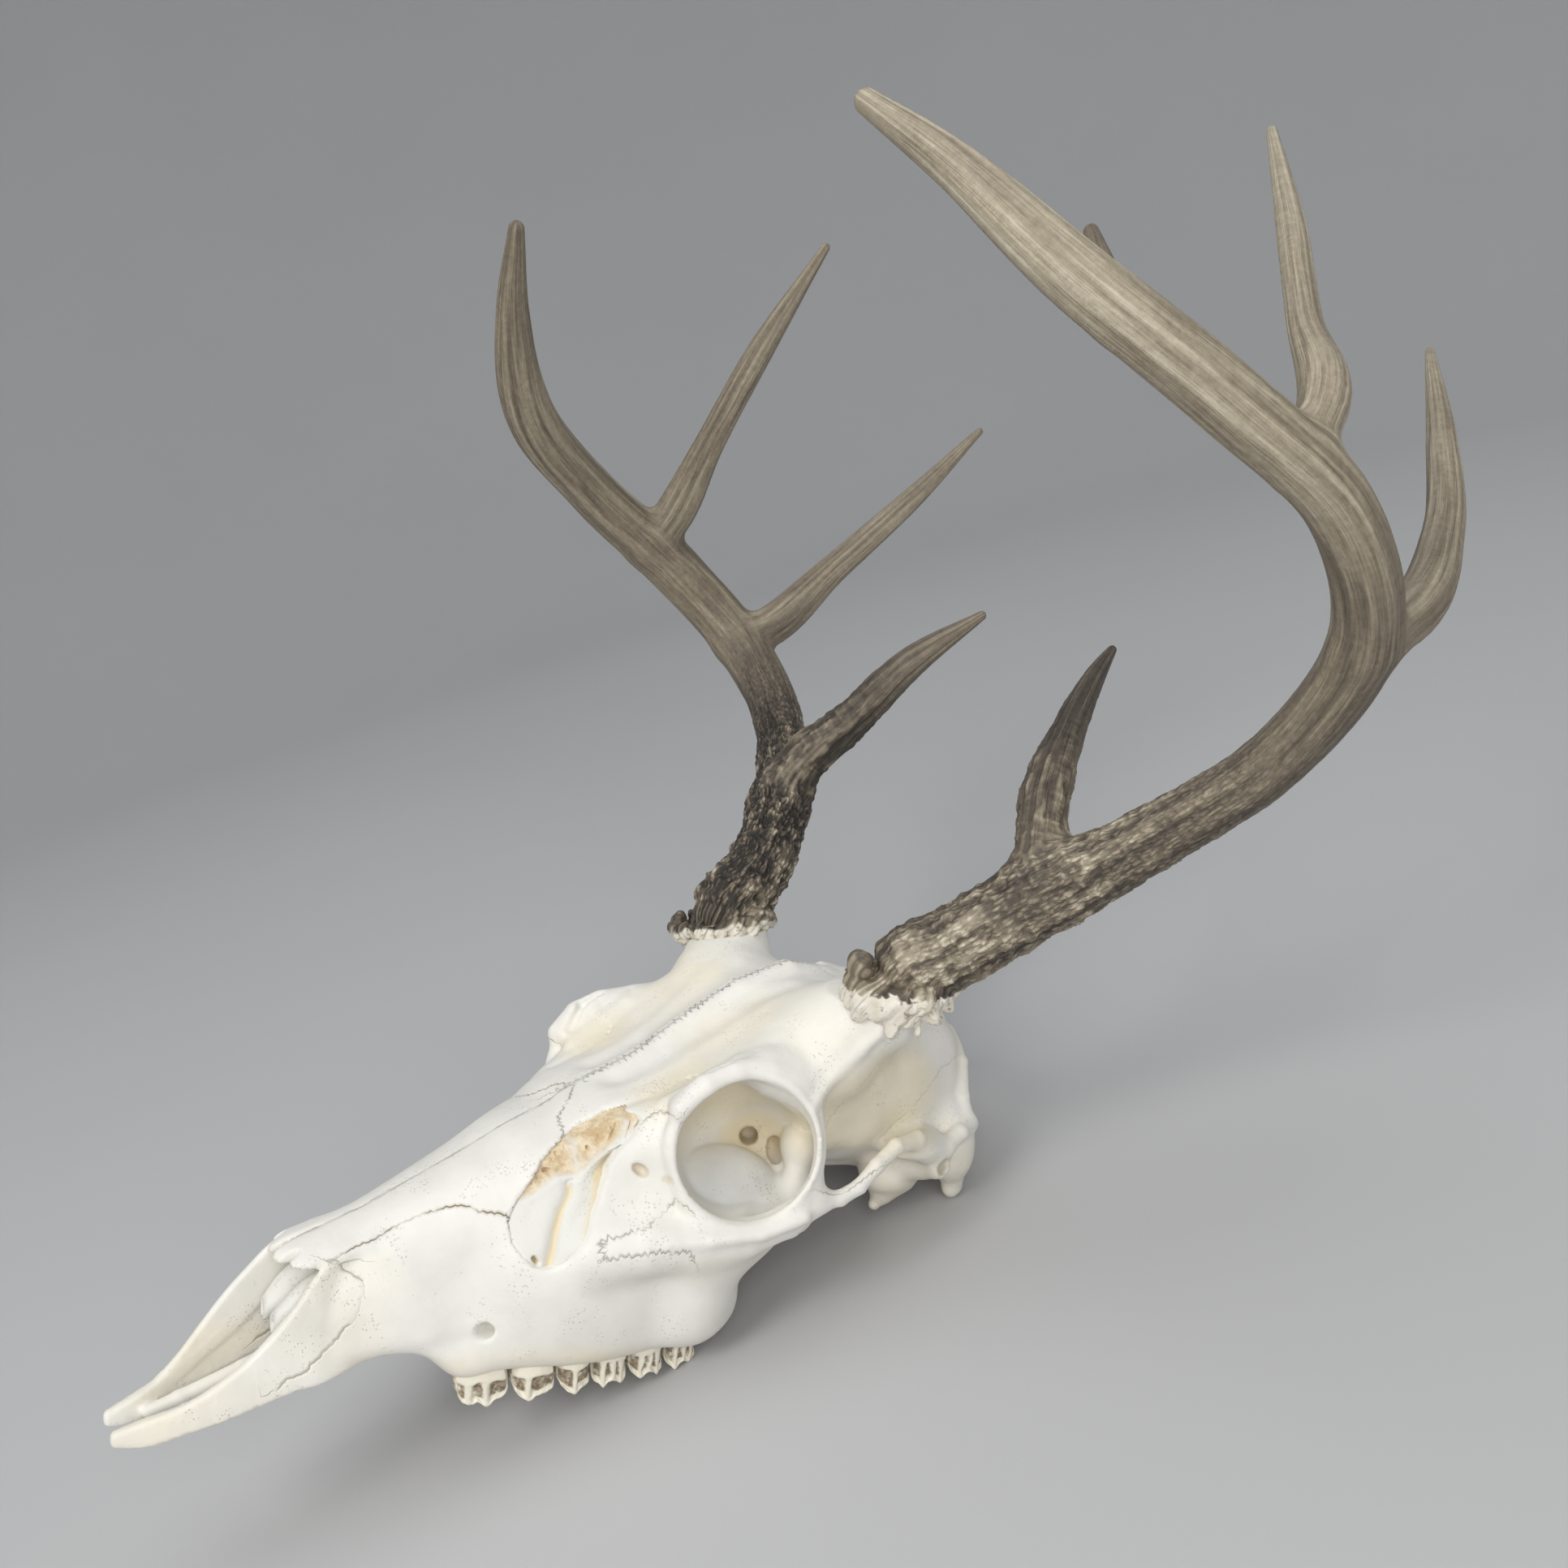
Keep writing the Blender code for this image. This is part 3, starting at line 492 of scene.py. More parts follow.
def skull_masses():
    """The closed masses of the face and the brain case, each with its fillet radius."""
    face = Loft(even([
        # y, top, bottom, half width at the top and at the bottom
        (54, 51.5, 14, 12.5, 18.5),
        (62, 54.5, 16, 14, 19.5),
        (75, 59, 18.5, 15.5, 22.5),
        (85, 63, 16.5, 17, 25.2),
        (92, 65.8, 10.2, 18.4, 27),
        (105, 71, 10, 21, 30),
        (120, 77.5, 10, 25, 32.5),
        (135, 82, 10, 29, 35),
        (150, 86, 10, 32, 36),
        (165, 90.2, 11, 32, 38),
        (182, 100, 14, 30, 36),
    ]), rounding=9, bulge=1.2, arch=8)
    forehead = Loft(even([
        (138, 83, 44, 26, 36),
        (150, 87, 40, 36, 42),
        (160, 90.4, 36, 42, 44),
        (170, 95.6, 34, 46, 42),
        (180, 100.6, 34, 45, 38),
        (190, 106, 38, 40, 32),
        (200, 110, 44, 36, 28),
        (207, 111.6, 55, 35, 29),
        (214, 112.5, 64, 34, 31),
        (228, 110, 66, 30, 34),
    ]), rounding=8, arch=5)
    brain = Egg((0, 234, 80), (39, 47, 32.3))
    back = Loft(even([
        (246, 102, 48, 28, 38),
        (258, 98, 46, 27, 38),
        (268, 92.5, 48, 25, 37),
        (275, 88, 52, 20, 31),
    ]), rounding=7)
    base = Loft(even([
        (185, 64, 44, 12, 10),
        (205, 66, 50, 13, 8),
        (222, 66, 50, 14, 9),
        (240, 64, 47, 16, 13),
        (272, 62, 46, 18, 12),
    ]), rounding=5)
    return [
        (face, 1), (forehead, 10), (brain, 12), (back, 10), (base, 8),
        # swelling of the upper jaw over the roots of the molars, and the jaw's blunt rear end
        (Egg((24, 140, 36), (15, 34, 24)), 12),
        (Egg((30.5, 165.5, 30), (13.5, 12.5, 20)), 9),
        (Egg((39, 173, 41), (11, 18, 8), (0, -35, 0)), 7),
        # condyles, mastoid part and the processes beside the neck joint
        (Egg((13, 275, 53), (8.5, 8.5, 12), (0, 0, -20)), 4),
        (Egg((32, 265, 58), (7.5, 7, 10.5)), 8),
        (Stem([(33, 265, 56, 6.5), (31.5, 267, 48, 5.8), (30, 267.5, 40.75, 4.8)], (1, 0.4, 0), 1.5), 5),
        # ear: bony drum, its blade and the tube of the ear canal
        (Egg((23, 246, 47), (8, 11, 8)), 5),
        (Stem([(23, 250, 44, 6), (21.5, 245, 39, 4.5), (20.7, 242, 35, 2.4)], (1, 0, 0), 1.5), 4),
        (Stem([(30, 249, 53, 6), (41, 252, 54, 5)]), 4),
        # bony stalks that carry the antlers
        (Stem([(25, 207, 88, 18), (36, 217, 102, 15.5), (44.5, 225, 111, 14),
               (49.5, 229, 121, 13.6)]), 14),
    ]


print("masses:", len(skull_masses()))

# %% [markdown]
# The bars stand clear of the masses, and they are what makes a skull look light: a round bead
# for the rim of the eye socket, a thin bar behind it, the cheek arch with its gap, the crests
# that neck muscles pulled on. A stem is squashed along one axis where the real bar is flat.

# %% Bars, crests and plates
def skull_bars():
    """The bead round the eye socket, the cheek arch and the crests, with fillet radii."""
    return [
        (Ring(EYE_CENTRE, EYE_AXIS, EYE_RIM, EYE_BEAD), 3.5),
        # cheek bone under the socket
        (Stem([(38, 132, 46, 7), (43.5, 146, 47, 6.5), (47.6, 160, 47, 5.5), (50.2, 176, 47.5, 5),
               (51.6, 189, 50, 4.8), (52.4, 198, 55, 4.2)], (1, 0, 0), 1.3), 7),
        # bar behind the socket
        (Stem([(42, 190.5, 95.5, 4.2), (47.2, 195.2, 89, 3), (51, 197.5, 80.5, 2.2),
               (52.4, 197.9, 69, 2), (52.4, 198.2, 58.5, 2.7)], (1, 0.6, 0), 1.2), 3),
        # shelf of the brow, out to the top of the socket
        (Stem([(43, 156.5, 88.2, 2.6), (44.2, 164.5, 93.8, 3.4), (44.2, 174, 95.8, 3.6),
               (43, 184, 95.5, 4.5)]), 5),
        (Stem([(38.4, 157.5, 88.4, 1.6), (40.2, 163.7, 91.4, 1.9), (41.6, 169, 93.6, 1.8)]), 4),
        # cheek arch back to the ear
        (Stem([(52.6, 197.8, 55, 3.3), (53.4, 206.4, 55, 2.5), (53.8, 213.1, 57.6, 2.4),
               (53.2, 220, 62.9, 2.5), (51.2, 228.5, 67, 2.7), (47.8, 239, 66.6, 3),
               (41, 249, 62.5, 4.2)], (1, 0, 0), 1.2), 3),
        (Egg((37, 243, 61), (11, 10, 4)), 5),
        # crest from the arch over the ear canal to the corner of the nape
        (Stem([(43, 246, 60, 3.4), (42.5, 255, 60, 3), (41, 262, 63, 2.6), (36.8, 269.6, 64, 2.2)]), 3),
        # crest of the nape
        (Stem([(36.3, 268.8, 63.5, 1.8), (33.2, 269.3, 72, 1.7), (27, 273, 82, 1.8),
               (14, 276.3, 88.5, 2.2), (0, 277.5, 90, 2.4)]), 3),
        # plates that hang from the base behind the palate
        (Stem([(11, 168, 30, 8), (11, 182, 34, 9), (11, 196, 38, 8), (11, 204, 32, 3)],
              (1, 0, 0), 3.4), 3),
    ]


print("bars:", len(skull_bars()))

# %% [markdown]
# A skull is as much hollow as bone. Seen from outside that means the arch of the palate, the
# passage behind it, the open nose and the bowl of each eye socket. They are shaped as solids
# too, and taken out of the masses with an edge as sharp as the real one.

# %% Hollows
def skull_hollows():
    """Spaces that are cut from the masses, each with the radius of its edge."""
    palate = Loft(even([
        (40, 12, -12, 9, 13),
        (60, 17.4, -12, 13, 15),
        (75, 20.8, -12, 14, 16.5),
        (90, 18.5, -12, 15, 19),
        (130, 18, -12, 16, 22),
        (172, 19, -12, 17, 23),
        (190, 19, -12, 20, 26),
    ]), rounding=5)
    throat = Loft(even([
        (162, 26, 4, 9, 9),
        (176, 38, 4, 9, 9),
        (190, 43, 4, 9, 9),
        (206, 44, 4, 8, 8),
    ]), rounding=4)
    nose = Loft(even([
        (30, 58, 18, 11, 14),
        (54, 50, 18, 10, 15),
        (68, 53, 21, 10, 16),
        (84, 58, 27, 8, 12),
    ]), rounding=6)
    return [
        (palate, 2), (throat, 3), (nose, 2),
        # eye socket: a bowl that runs back and inwards to the canal of the optic nerve
        (Egg((48, 176, 73.7), (28, 21.9, 21.6), (0, -5, -14)), 1),
        (Egg((36, 188, 68), (17, 15, 15)), 4),
        # pit before the socket and hollow of the cheek
        (Egg((50, 142, 67), (11.5, 12, 11)), 5),
        # hollows of the forehead on either side of its middle ridge
        (Egg((22, 172, 111.3), (13.5, 34, 14), (33, 0, 0)), 7),
        # way into the brain case
        (Egg((0, 289, 63), (10.5, 16, 10)), 1.5),
        (Stem([(44, 253, 54, 3), (37, 251, 53.5, 2.2)]), 1),
    ]


print("hollows:", len(skull_hollows()))

# %% [markdown]
# At its tip the skull is only thin blades: the nasal bones above, and the two bones of the upper
# lip below with a slim rod inside each. They go in after the nose has been hollowed, so that
# each keeps its own thickness. The right blade stands a little higher, as it does on this skull.

# %% Walls of the open nose
def nose_walls():
    """Nasal bones, premaxillae and their inner rods, built round the open nose."""
    nasal = Loft([
        # y, top, bottom, then inner and outer x at the top and at the bottom
        (45.3, 50, 47.4, 0.8, 4.6, 0.8, 4.8),
        (49, 51.6, 47.4, 0.3, 9.6, 0.3, 11),
        (58, 54.2, 47.5, 0, 11, 0, 13.5),
        (72, 56.5, 49, 0, 11, 0, 13.5),
    ], rounding=1.2, arch=3.5)
    blade = Loft([
        (0, 8.6, 4.8, 3.6, 6.4, 3.2, 7),
        (8, 10.9, 4, 4.6, 8.4, 3.4, 9.4),
        (20, 14.9, 6.6, 8.6, 11.6, 8.2, 12.4),
        (29, 20, 8.8, 10.4, 13.6, 10.2, 14.6),
        (36, 25, 10.8, 11.2, 14.6, 11, 15.6),
        (49, 37.8, 14.2, 11.6, 15, 12.2, 17.4),
        (56, 46.4, 15.2, 11.8, 14.4, 13.4, 18.4),
        (63, 48.6, 17.6, 11, 13, 13.4, 17.8),
        (70, 47, 21, 10, 12, 12.6, 16),
    ], rounding=1.2)
    rod = Stem([(3.2, 11, 7.2, 1.6), (3.3, 20, 9.2, 1.9), (4, 38, 13.2, 2.3), (5.6, 60, 17.6, 4.2)])
    return [(nasal, 1.2), (blade, 1.2), (rod, 1)]


def far_blade():
    """The higher edge of the right premaxilla, drawn as if on the left."""
    return Loft([
        (15, 13, 9, 8.6, 11, 8, 11.4),
        (22.5, 19, 12, 10.4, 13, 9.6, 13.4),
        (27.5, 24.2, 15, 11.4, 14, 10.6, 14.6),
        (32.5, 29.8, 18, 11.8, 14.4, 11.2, 15),
        (37.5, 35.2, 21, 11.8, 14.4, 11.6, 15.4),
        (42.5, 40, 25, 11.6, 14.2, 11.8, 15.8),
        (48, 45.2, 30, 11.2, 13.8, 12, 16),
        (56, 49.5, 36, 11, 13.6, 13, 16.6),
    ], rounding=1.1)


print("nose walls:", 2 * len(nose_walls()) + 1)

# %% [markdown]
# The plain forms now take the marks that a hand would feel: the sharp inner edge of the eye
# socket, the thin swelling low inside it, nerve and tear openings, the ridge down the middle of
# the forehead, the line where the temple muscle began. These are drawn in true places, as they
# are seen on the skull, so they skip the slim plan.

# %% Raised and sunk details
def raised_details():
    """Small swellings, lips and ridges, each with its fillet radius."""
    return [
        # sharp lip along the inside of the eye ring
        (Ring((53.8, 173, 75.5), (1, -0.33, 0.12), 22.5, 0.9), 1.2),
        # thin-walled swelling low in the socket, and the lobe that guards the rear openings
        (Egg((28, 177, 50), (13.5, 22, 18), (-12, 0, 0)), 0.6),
        (Egg((35.5, 202, 66), (7.5, 5.2, 8), (0, 15, 0)), 1),
        (Egg((38, 200, 50), (6.5, 6, 11)), 4),
        (Egg((32, 190, 46), (15, 16, 8)), 5),
        # ridge down the middle of the forehead, under its zigzag joint
        (Stem([(0, 140, 79.4, 1.4), (0, 160, 87.4, 2.2), (0, 182, 100.2, 3), (0, 200, 109.2, 3.2),
               (0, 219, 113.6, 3.4), (0, 232, 109.6, 3)]), 5.5),
        # start of the temple muscle, from the eye ring up to the stalk and along the brain case
        (Stem([(44, 187, 93.5, 5), (45.5, 193, 93, 6), (46.5, 200, 92, 7),
               (46, 208, 95.5, 8.5)]), 11),
        (Stem([(57.8, 193.6, 87, 1), (55, 199.2, 91, 1.4), (54.4, 204.4, 95, 1.4),
               (57.4, 210.8, 101.6, 1.4), (60.5, 215, 107, 1.2)]), 2.6),
        # edge of the brow over the socket
        (Stem([(35.7, 155.6, 87.4, 0.8), (38.8, 168.3, 93.6, 1.2), (40, 177, 97.4, 0.8)]), 7),
        (Stem([(20, 246, 108.5, 1), (17, 258, 103.5, 1), (16, 270, 96, 1.4)]), 5),
        # crest of the face below the socket
        (Stem([(52, 148, 50.5, 1.2), (56.6, 160, 50.6, 1.5), (60.2, 175, 50.8, 1.5),
               (62, 188.5, 53.6, 1.4)], (0, 0, 1), 1.4), 4),
        # knob of the nape and the ridge below it
        (Egg((0, 280, 87), (6, 3.2, 4.5)), 4),
        (Stem([(0, 277.5, 84, 2), (0, 276, 74, 1.2)]), 4),
        # edge of the roof over the rear openings of the nose
        (Stem([(11, 168, 27, 2), (7, 164, 26, 2), (0, 162, 25.5, 2)]), 2),
        # rough end of the jaw behind the last tooth
        (Egg((34, 174, 22), (4.5, 3.6, 6)), 4),
    ]


def sunk_details():
    """Openings, pits and furrows, each with the radius of its edge."""
    return [
        # openings at the back of the socket
        (Stem([(23, 191, 67, 3.1), (8, 199, 65.5, 2.6)]), 0.45),
        (Egg((27, 198.4, 62.8), (6, 2.6, 4.6), (0, 0, -20)), 0.45),
        # tear openings on and before the ring
        (Egg((41, 144.3, 69.5), (4.2, 2.9, 1.75), (-43, 0, 0)), 0.35),
        (Egg((47.6, 149.6, 67), (3.4, 1.9, 2.5), (20, 0, 0)), 0.45),
        (Egg((47.8, 148.8, 77.2), (2.2, 1.7, 1.5), (30, 0, 0)), 0.8),
        # nerve opening over the premolars, with the furrow that leads forward from it
        (Stem([(26.6, 102.6, 25.6, 2.3), (31.2, 97.4, 25.2, 2.7), (33.4, 91.6, 24, 2.2)]), 0.6),
        (Stem([(32.6, 93.6, 24.4, 2), (30.6, 87, 22.6, 2), (28.2, 78, 20.5, 1)]), 4),
        # openings over the brow and the furrow that runs forward from them
        (Stem([(29.4, 165.4, 93.6, 1), (28.5, 167.5, 89, 1)]), 0.3),
        (Stem([(31.4, 166.7, 94.4, 0.7), (30.5, 168.5, 91.4, 0.7)]), 0.3),
        (Stem([(27.6, 163, 93, 0.9), (26, 152, 88.6, 1.3), (24.2, 143, 85.4, 0.9)]), 3),
        (Stem([(44, 181.3, 102.6, 0.7), (43.2, 182.5, 98.5, 0.7)]), 0.3),
        # furrow between the brow edge and the ring
        (Stem([(40.5, 156.5, 91.8, 0.8), (46, 163.5, 97.8, 1), (47.5, 171.5, 100.8, 0.4)]), 2.2),
        # troughs on both sides of the middle ridge
        (Stem([(9, 150, 93.2, 5), (10, 165, 99.4, 6), (11, 180, 108.1, 7), (13, 194, 115.4, 7),
               (16, 205, 119.4, 6)]), 5),
        # notch between the two points of the nasal bone
        (Egg((7.2, 43.6, 50), (1.7, 8.2, 6)), 0.6),
        # tiny openings of the cheek
        (Egg((36.4, 112.5, 34.2), (1.5, 0.7, 0.5)), 0.3),
        (Egg((33.6, 103, 41), (1, 0.6, 0.4)), 0.3),
        # nerve openings of the base and the palate
        (Egg((14.5, 262, 46.5), (2, 3, 3.5)), 1),
        (Egg((17.5, 226, 47), (3.2, 5, 4)), 1),
        (Egg((13, 137, 18.5), (1.4, 2.6, 3)), 0.8),
    ]


print("raised and sunk:", len(raised_details()), len(sunk_details()))

# %% [markdown]
# Before the eye the face of a deer has a window: the bones don't meet there, and the folded
# sheets of the nose show through. The opening is cut as a many-sided prism through the wall, so
# its edge stays thin and crisp, and the folded sheet is set into it later as its own piece.

# %% The window before the eye
WINDOW_EDGE = [
    # y and z round the opening, from its front corner up the roof, back, and down again
    (110.2, 60.4), (113.3, 63.6), (115.6, 66.3), (119.2, 70.3), (123.9, 73.8), (128.9, 76.1),
    (135, 78.8), (139.6, 81.3), (144.3, 82.9), (146.5, 83.5), (147.5, 82.6), (144.1, 79.2),
    (139, 74.1), (136.4, 69.7), (135.4, 67.1), (133.2, 62.9), (132.7, 61.3), (128.5, 55.5),
    (123.8, 50.4), (120.5, 45.7), (117.2, 43.9), (114.7, 43.7), (112.2, 44.4), (109.8, 47),
    (107.6, 50.5), (107.7, 56.1),
]
WINDOW_DEPTH = 8.5
NOSE_WALL = 14.0             # how near the middle of the nose the window may cut
FAR_DROP = 3.0               # how much lower the right window sits


def path_distance(y, z, points):
    """Distance in the y-z plane to an open path."""
    near = np.full(len(y), 1e9)
    for (ay, az), (by, bz) in zip(points, points[1:]):
        ey, ez = by - ay, bz - az
        t = np.clip(((y - ay) * ey + (z - az) * ez) / (ey * ey + ez * ez), 0.0, 1.0)
        near = np.minimum(near, np.hypot(y - ay - t * ey, z - az - t * ez))
    return near


def edge_distance(y, z, corners):
    """Signed distance in the y-z plane to a closed outline: negative inside."""
    closed = [*corners, corners[0]]
    inside = np.zeros(len(y), bool)
    for (ay, az), (by, bz) in zip(closed, closed[1:]):
        crosses = (az > z) != (bz > z)
        rise = bz - az if bz != az else 1e-9
        inside ^= crosses & (y < ay + (z - az) * (by - ay) / rise)
    near = path_distance(y, z, closed)
    return np.where(inside, -near, near)


def open_window(value, solid, w, drop):
    """Cut the window through the side wall, to a set depth below its surface."""
    outline = edge_distance(w[:, 1], w[:, 2] + drop, WINDOW_EDGE)
    floor = -(solid + WINDOW_DEPTH)
    sideways = NOSE_WALL - w[:, 0]
    return soft_max(value, -np.maximum(np.maximum(outline, floor), sideways), 0.6)


def whole_bone(w):
    """Distance to the masses and bars, before anything is hollowed out."""
    return add_features(np.full(len(w), 1e3), slimmed(w), skull_masses() + skull_bars())


def closed_field(w, value):
    """Distance to the hollowed bone with its walls and ridges, before the window is opened."""
    value = sink_features(value, slimmed(w), skull_hollows())
    value = add_features(value, slimmed(w), nose_walls())
    return add_features(value, w, raised_details())


def skull_field(p):
    """Distance to the finished skull without its teeth: negative inside the bone."""
    w = folded(p)
    solid = whole_bone(w)
    value = open_window(closed_field(w, solid), solid, w, FAR_DROP * (p[:, 0] < 0.0))
    value = soft_min(value, far_blade().field(slimmed(p * (-1.0, 1.0, 1.0))), 1.2)
    value = sink_features(value, w, sunk_details())
    for burr in (LEFT_BURR, RIGHT_BURR):
        near = np.linalg.norm(p - np.array(burr[0]), axis=1) < STALK_REACH
        value = np.where(near, soft_max(value, above_burr(p, burr) - STALK_END, 0.4), value)
    return value


print("middle of the brain case lies", skull_field(np.array([[0.0, 234, 80]])).round(1), "mm deep")

# %% [markdown]
# The skull is melted three times. The first, coarse skin is drawn onto the field in many small
# steps, with a relaxing pass between them. The two fine skins start from there, so each needs
# only a few steps to take the small details.

# %% Sculpt the skull
COARSE_VOXEL = 1.7
FINE_VOXEL = 0.95
PIECE_TRIANGLES = 192000


def tuck_scraps(piece):
    """Push any scrap of bone left in the windows down behind the folded sheets."""
    points = places_of(piece.data)
    w = folded(points)
    outline = edge_distance(w[:, 1], w[:, 2] + FAR_DROP * (points[:, 0] < 0.0), WINDOW_EDGE)
    sunk = np.clip(whole_bone(w) + WINDOW_DEPTH - 1.0, 0.0, WINDOW_DEPTH)
    scrap = (outline < -0.7) & (w[:, 0] > NOSE_WALL)
    points[:, 0] -= np.sign(points[:, 0]) * sunk * scrap
    set_places(piece.data, points)


def make_skull():
    """Block out, cut, melt and sculpt the cranium."""
    skull = clay_object("cranium", shapes(skull_masses() + skull_bars()), COARSE_VOXEL)
    window = Stem([(34, 143, 77, 3), (32, 138, 73, 5), (31, 128, 66, 9), (33, 118, 56, 9),
                   (35, 114, 50, 6)], (1, 0, 0), 0.7)
    cut_away(skull, clay_object("hollow", shapes(skull_hollows()) + [window], COARSE_VOXEL))
    bm = bmesh.new()
    bm.from_mesh(skull.data)
    lay_clay(bm, shapes(nose_walls()))
    lay_clay(bm, [far_blade()], (RIGHT,))
    bm.to_mesh(skull.data)
    bm.free()
    fuse(skull, COARSE_VOXEL)
    sculpt(skull, skull_field, 8, relaxed=6)
    fuse(skull, FINE_VOXEL)
    sculpt(skull, skull_field, 4, relaxed=1, reach=1.0)
    fuse(skull, FINE_VOXEL)
    sculpt(skull, skull_field, 2, reach=0.8)
    tuck_scraps(skull)
    thin_out(skull, PIECE_TRIANGLES)
    return skull


cranium = make_skull()
print("cranium vertices", len(cranium.data.vertices))

# %% [markdown]
# Behind the window lie the folded sheets of the nose: a rough tan one above, a smooth grey one
# below, and a pale tongue behind, with narrow slots between them. A grid is laid against the side
# wall and pushed in, deep at the slots and hardly at all along the thin struts. A Solidify
# modifier gives it a thickness just under a millimetre.

# %% Noise that gives the same result each run
NOISE_TABLE = np.random.default_rng(7).random((48, 48, 48))


def noise(x, y, z):
    """Smooth value noise from 0 to 1 with one cell per unit."""
    cell = [np.floor(a).astype(int) for a in (x, y, z)]
    part = [a - c for a, c in zip((x, y, z), cell)]
    ease = [t * t * (3.0 - 2.0 * t) for t in part]
    total = np.zeros(len(x))
    for corner in range(8):
        step = [(corner >> axis) & 1 for axis in range(3)]
        weight = np.ones(len(x))
        for axis in range(3):
            weight = weight * (ease[axis] if step[axis] else 1.0 - ease[axis])
        total += weight * NOISE_TABLE[tuple((cell[a] + step[a]) % 48 for a in range(3))]
    return total


def ridges(x, y, z):
    """Noise folded at its middle: 1 along thin winding lines, falling to 0 between them."""
    return 1.0 - np.abs(2.0 * noise(x, y, z) - 1.0)

# %% Lines of the folded sheets
TAN_SHEET = [(110.5, 60.6), (115.9, 62.9), (122.3, 67), (127.9, 67.5), (131.7, 69.7), (136.9, 74),
             (140.6, 77.5), (148.6, 82.4), (148.6, 86), (139.6, 83.5), (129.5, 78.5), (118.6, 72),
             (111.1, 64.8)]
TONGUE = [(127.1, 65.8), (135.2, 72.4), (140.6, 76), (140.1, 71), (138.1, 65.5), (134.6, 59),
          (130.1, 53), (125.1, 47), (121.1, 41.5), (116.8, 41.5), (120, 51.9), (122.9, 57.7),
          (125.8, 61.5)]
FOLD = [(127.1, 65.8), (125.8, 61.5), (122.9, 57.7), (120, 51.9), (116.8, 43)]
SLOTS = [
    # points of the slot, half width, added depth
    ([(137.9, 74.4), (139.9, 77.5), (142.3, 80.9)], 0.9, 3.2),
    ([(113.2, 45.3), (112.6, 46.4)], 0.6, 4.5),
    ([(142.5, 78.4), (145.1, 81.8)], 0.5, 1.4),
    ([(144.8, 80.4), (146.9, 82.2)], 0.5, 2),
]
STRUTS = [
    # points of the strut, half width, how near the wall it comes
    ([(109.6, 59.8), (115.8, 62.5), (122.4, 66.7), (127.9, 67.2)], 1.3, 0.7),
    ([(129.5, 75.6), (129, 72), (128.9, 69.4), (128.1, 67.2)], 1.5, 0.6),
    ([(127.1, 65.8), (135.2, 72.5), (139.3, 75)], 1.5, 0.75),
    ([(138.9, 74.6), (141.5, 78.2), (143.7, 82)], 0.9, 0.75),
    ([(143.9, 79.4), (146.1, 82.6)], 0.5, 0.7),
]

# %% How deep the sheets lie
def sheet_depth(y, z):
    """Depth of the folded sheet below the side wall, how tan it is, and where it meets the wall."""
    tan = fade(-0.3, 0.6, -edge_distance(y, z, TAN_SHEET))
    tongue = fade(-0.3, 0.3, -edge_distance(y, z, TONGUE))
    fold = path_distance(y, z, FOLD)
    rim = -edge_distance(y, z, WINDOW_EDGE)
    crumpled = noise(y * 0.45, z * 0.45, 0) + 0.35 * noise(y * 1.0, z * 1.0, 5)
    holes = fade(0.7, 0.92, noise(y * 0.7, z * 0.7, 9))
    grey_depth = 0.3 + 2.2 * np.exp(-(fold / 2.6) ** 2) + 0.5 * noise(y * 0.2, z * 0.2, 3)
    tongue_depth = 0.5 + 0.42 * np.maximum(fold - 1.6, 0.0)
    tan_depth = (1.9 + 1.1 * (crumpled - 0.75) + 1.6 * holes) * (0.45 + 0.55 * fade(0.0, 3.0, rim))
    depth = grey_depth + tongue * (tongue_depth - grey_depth)
    depth = depth + tan * (tan_depth - depth)
    slots, struts = ([amount * np.exp(-(path_distance(y, z, points) / width) ** 2)
                      for points, width, amount in marks] for marks in (SLOTS, STRUTS))
    depth = depth + sum(slots)
    raised = np.max(struts, axis=0)
    depth = depth * (1.0 - raised)
    tan = tan * (1.0 - raised)
    flush = fade(114.0, 109.5, y) * fade(61.5, 58.0, z)
    return depth * (1.0 - flush) - 0.06 * flush, tan, flush


def wall_distance(y, z):
    """How far out to the left the closed side wall of the face lies, at places y and z."""
    near, far = np.full(len(y), NOSE_WALL), np.full(len(y), 60.0)
    for _ in range(16):
        x = (near + far) / 2
        w = np.column_stack([x, y, z])
        inside = closed_field(w, whole_bone(w)) < 0.0
        near, far = np.where(inside, x, near), np.where(inside, far, x)
    return near

# %% Make the folded sheets
def make_sheet(side, name):
    """Folded nose sheet behind one window."""
    bm = bmesh.new()
    bmesh.ops.create_grid(bm, x_segments=150, y_segments=156, size=0.5)
    flat = np.array([v.co[:2] for v in bm.verts])
    y, z = 127.0 + 44.0 * flat[:, 0], 64.0 + 46.0 * flat[:, 1]
    drop = FAR_DROP if side < 0 else 0.0
    depth, _, flush = sheet_depth(y, z + drop)
    outside = edge_distance(y, z + drop, WINDOW_EDGE)
    wall = wall_distance(y, z)
    x = wall - depth - 2.4 * fade(0.0, 1.1, outside) * (1.0 - flush)
    for vert, place in zip(bm.verts, np.column_stack([side * x, y, z])):
        vert.co = place
    w = np.column_stack([x, y, z])
    bare = (outside > 0.5) & (closed_field(w, whole_bone(w)) > -0.15)
    off_wall = (outside > 1.5) | (wall < 17.0) | (z + drop > 85.6) | (bare & (flush < 0.1))
    far = [v for v, off in zip(bm.verts, off_wall) if off]
    bmesh.ops.delete(bm, geom=far, context="VERTS")
    piece = mesh_object(name, bm)
    if piece.data.polygons[0].normal.x * side < 0:
        piece.data.flip_normals()
    stiffen(piece, 0.9, -1.0)
    return piece


sheets = [make_sheet(1, "nose_sheets_left"), make_sheet(-1, "nose_sheets_right")]
print("nose sheet vertices", len(sheets[0].data.vertices))

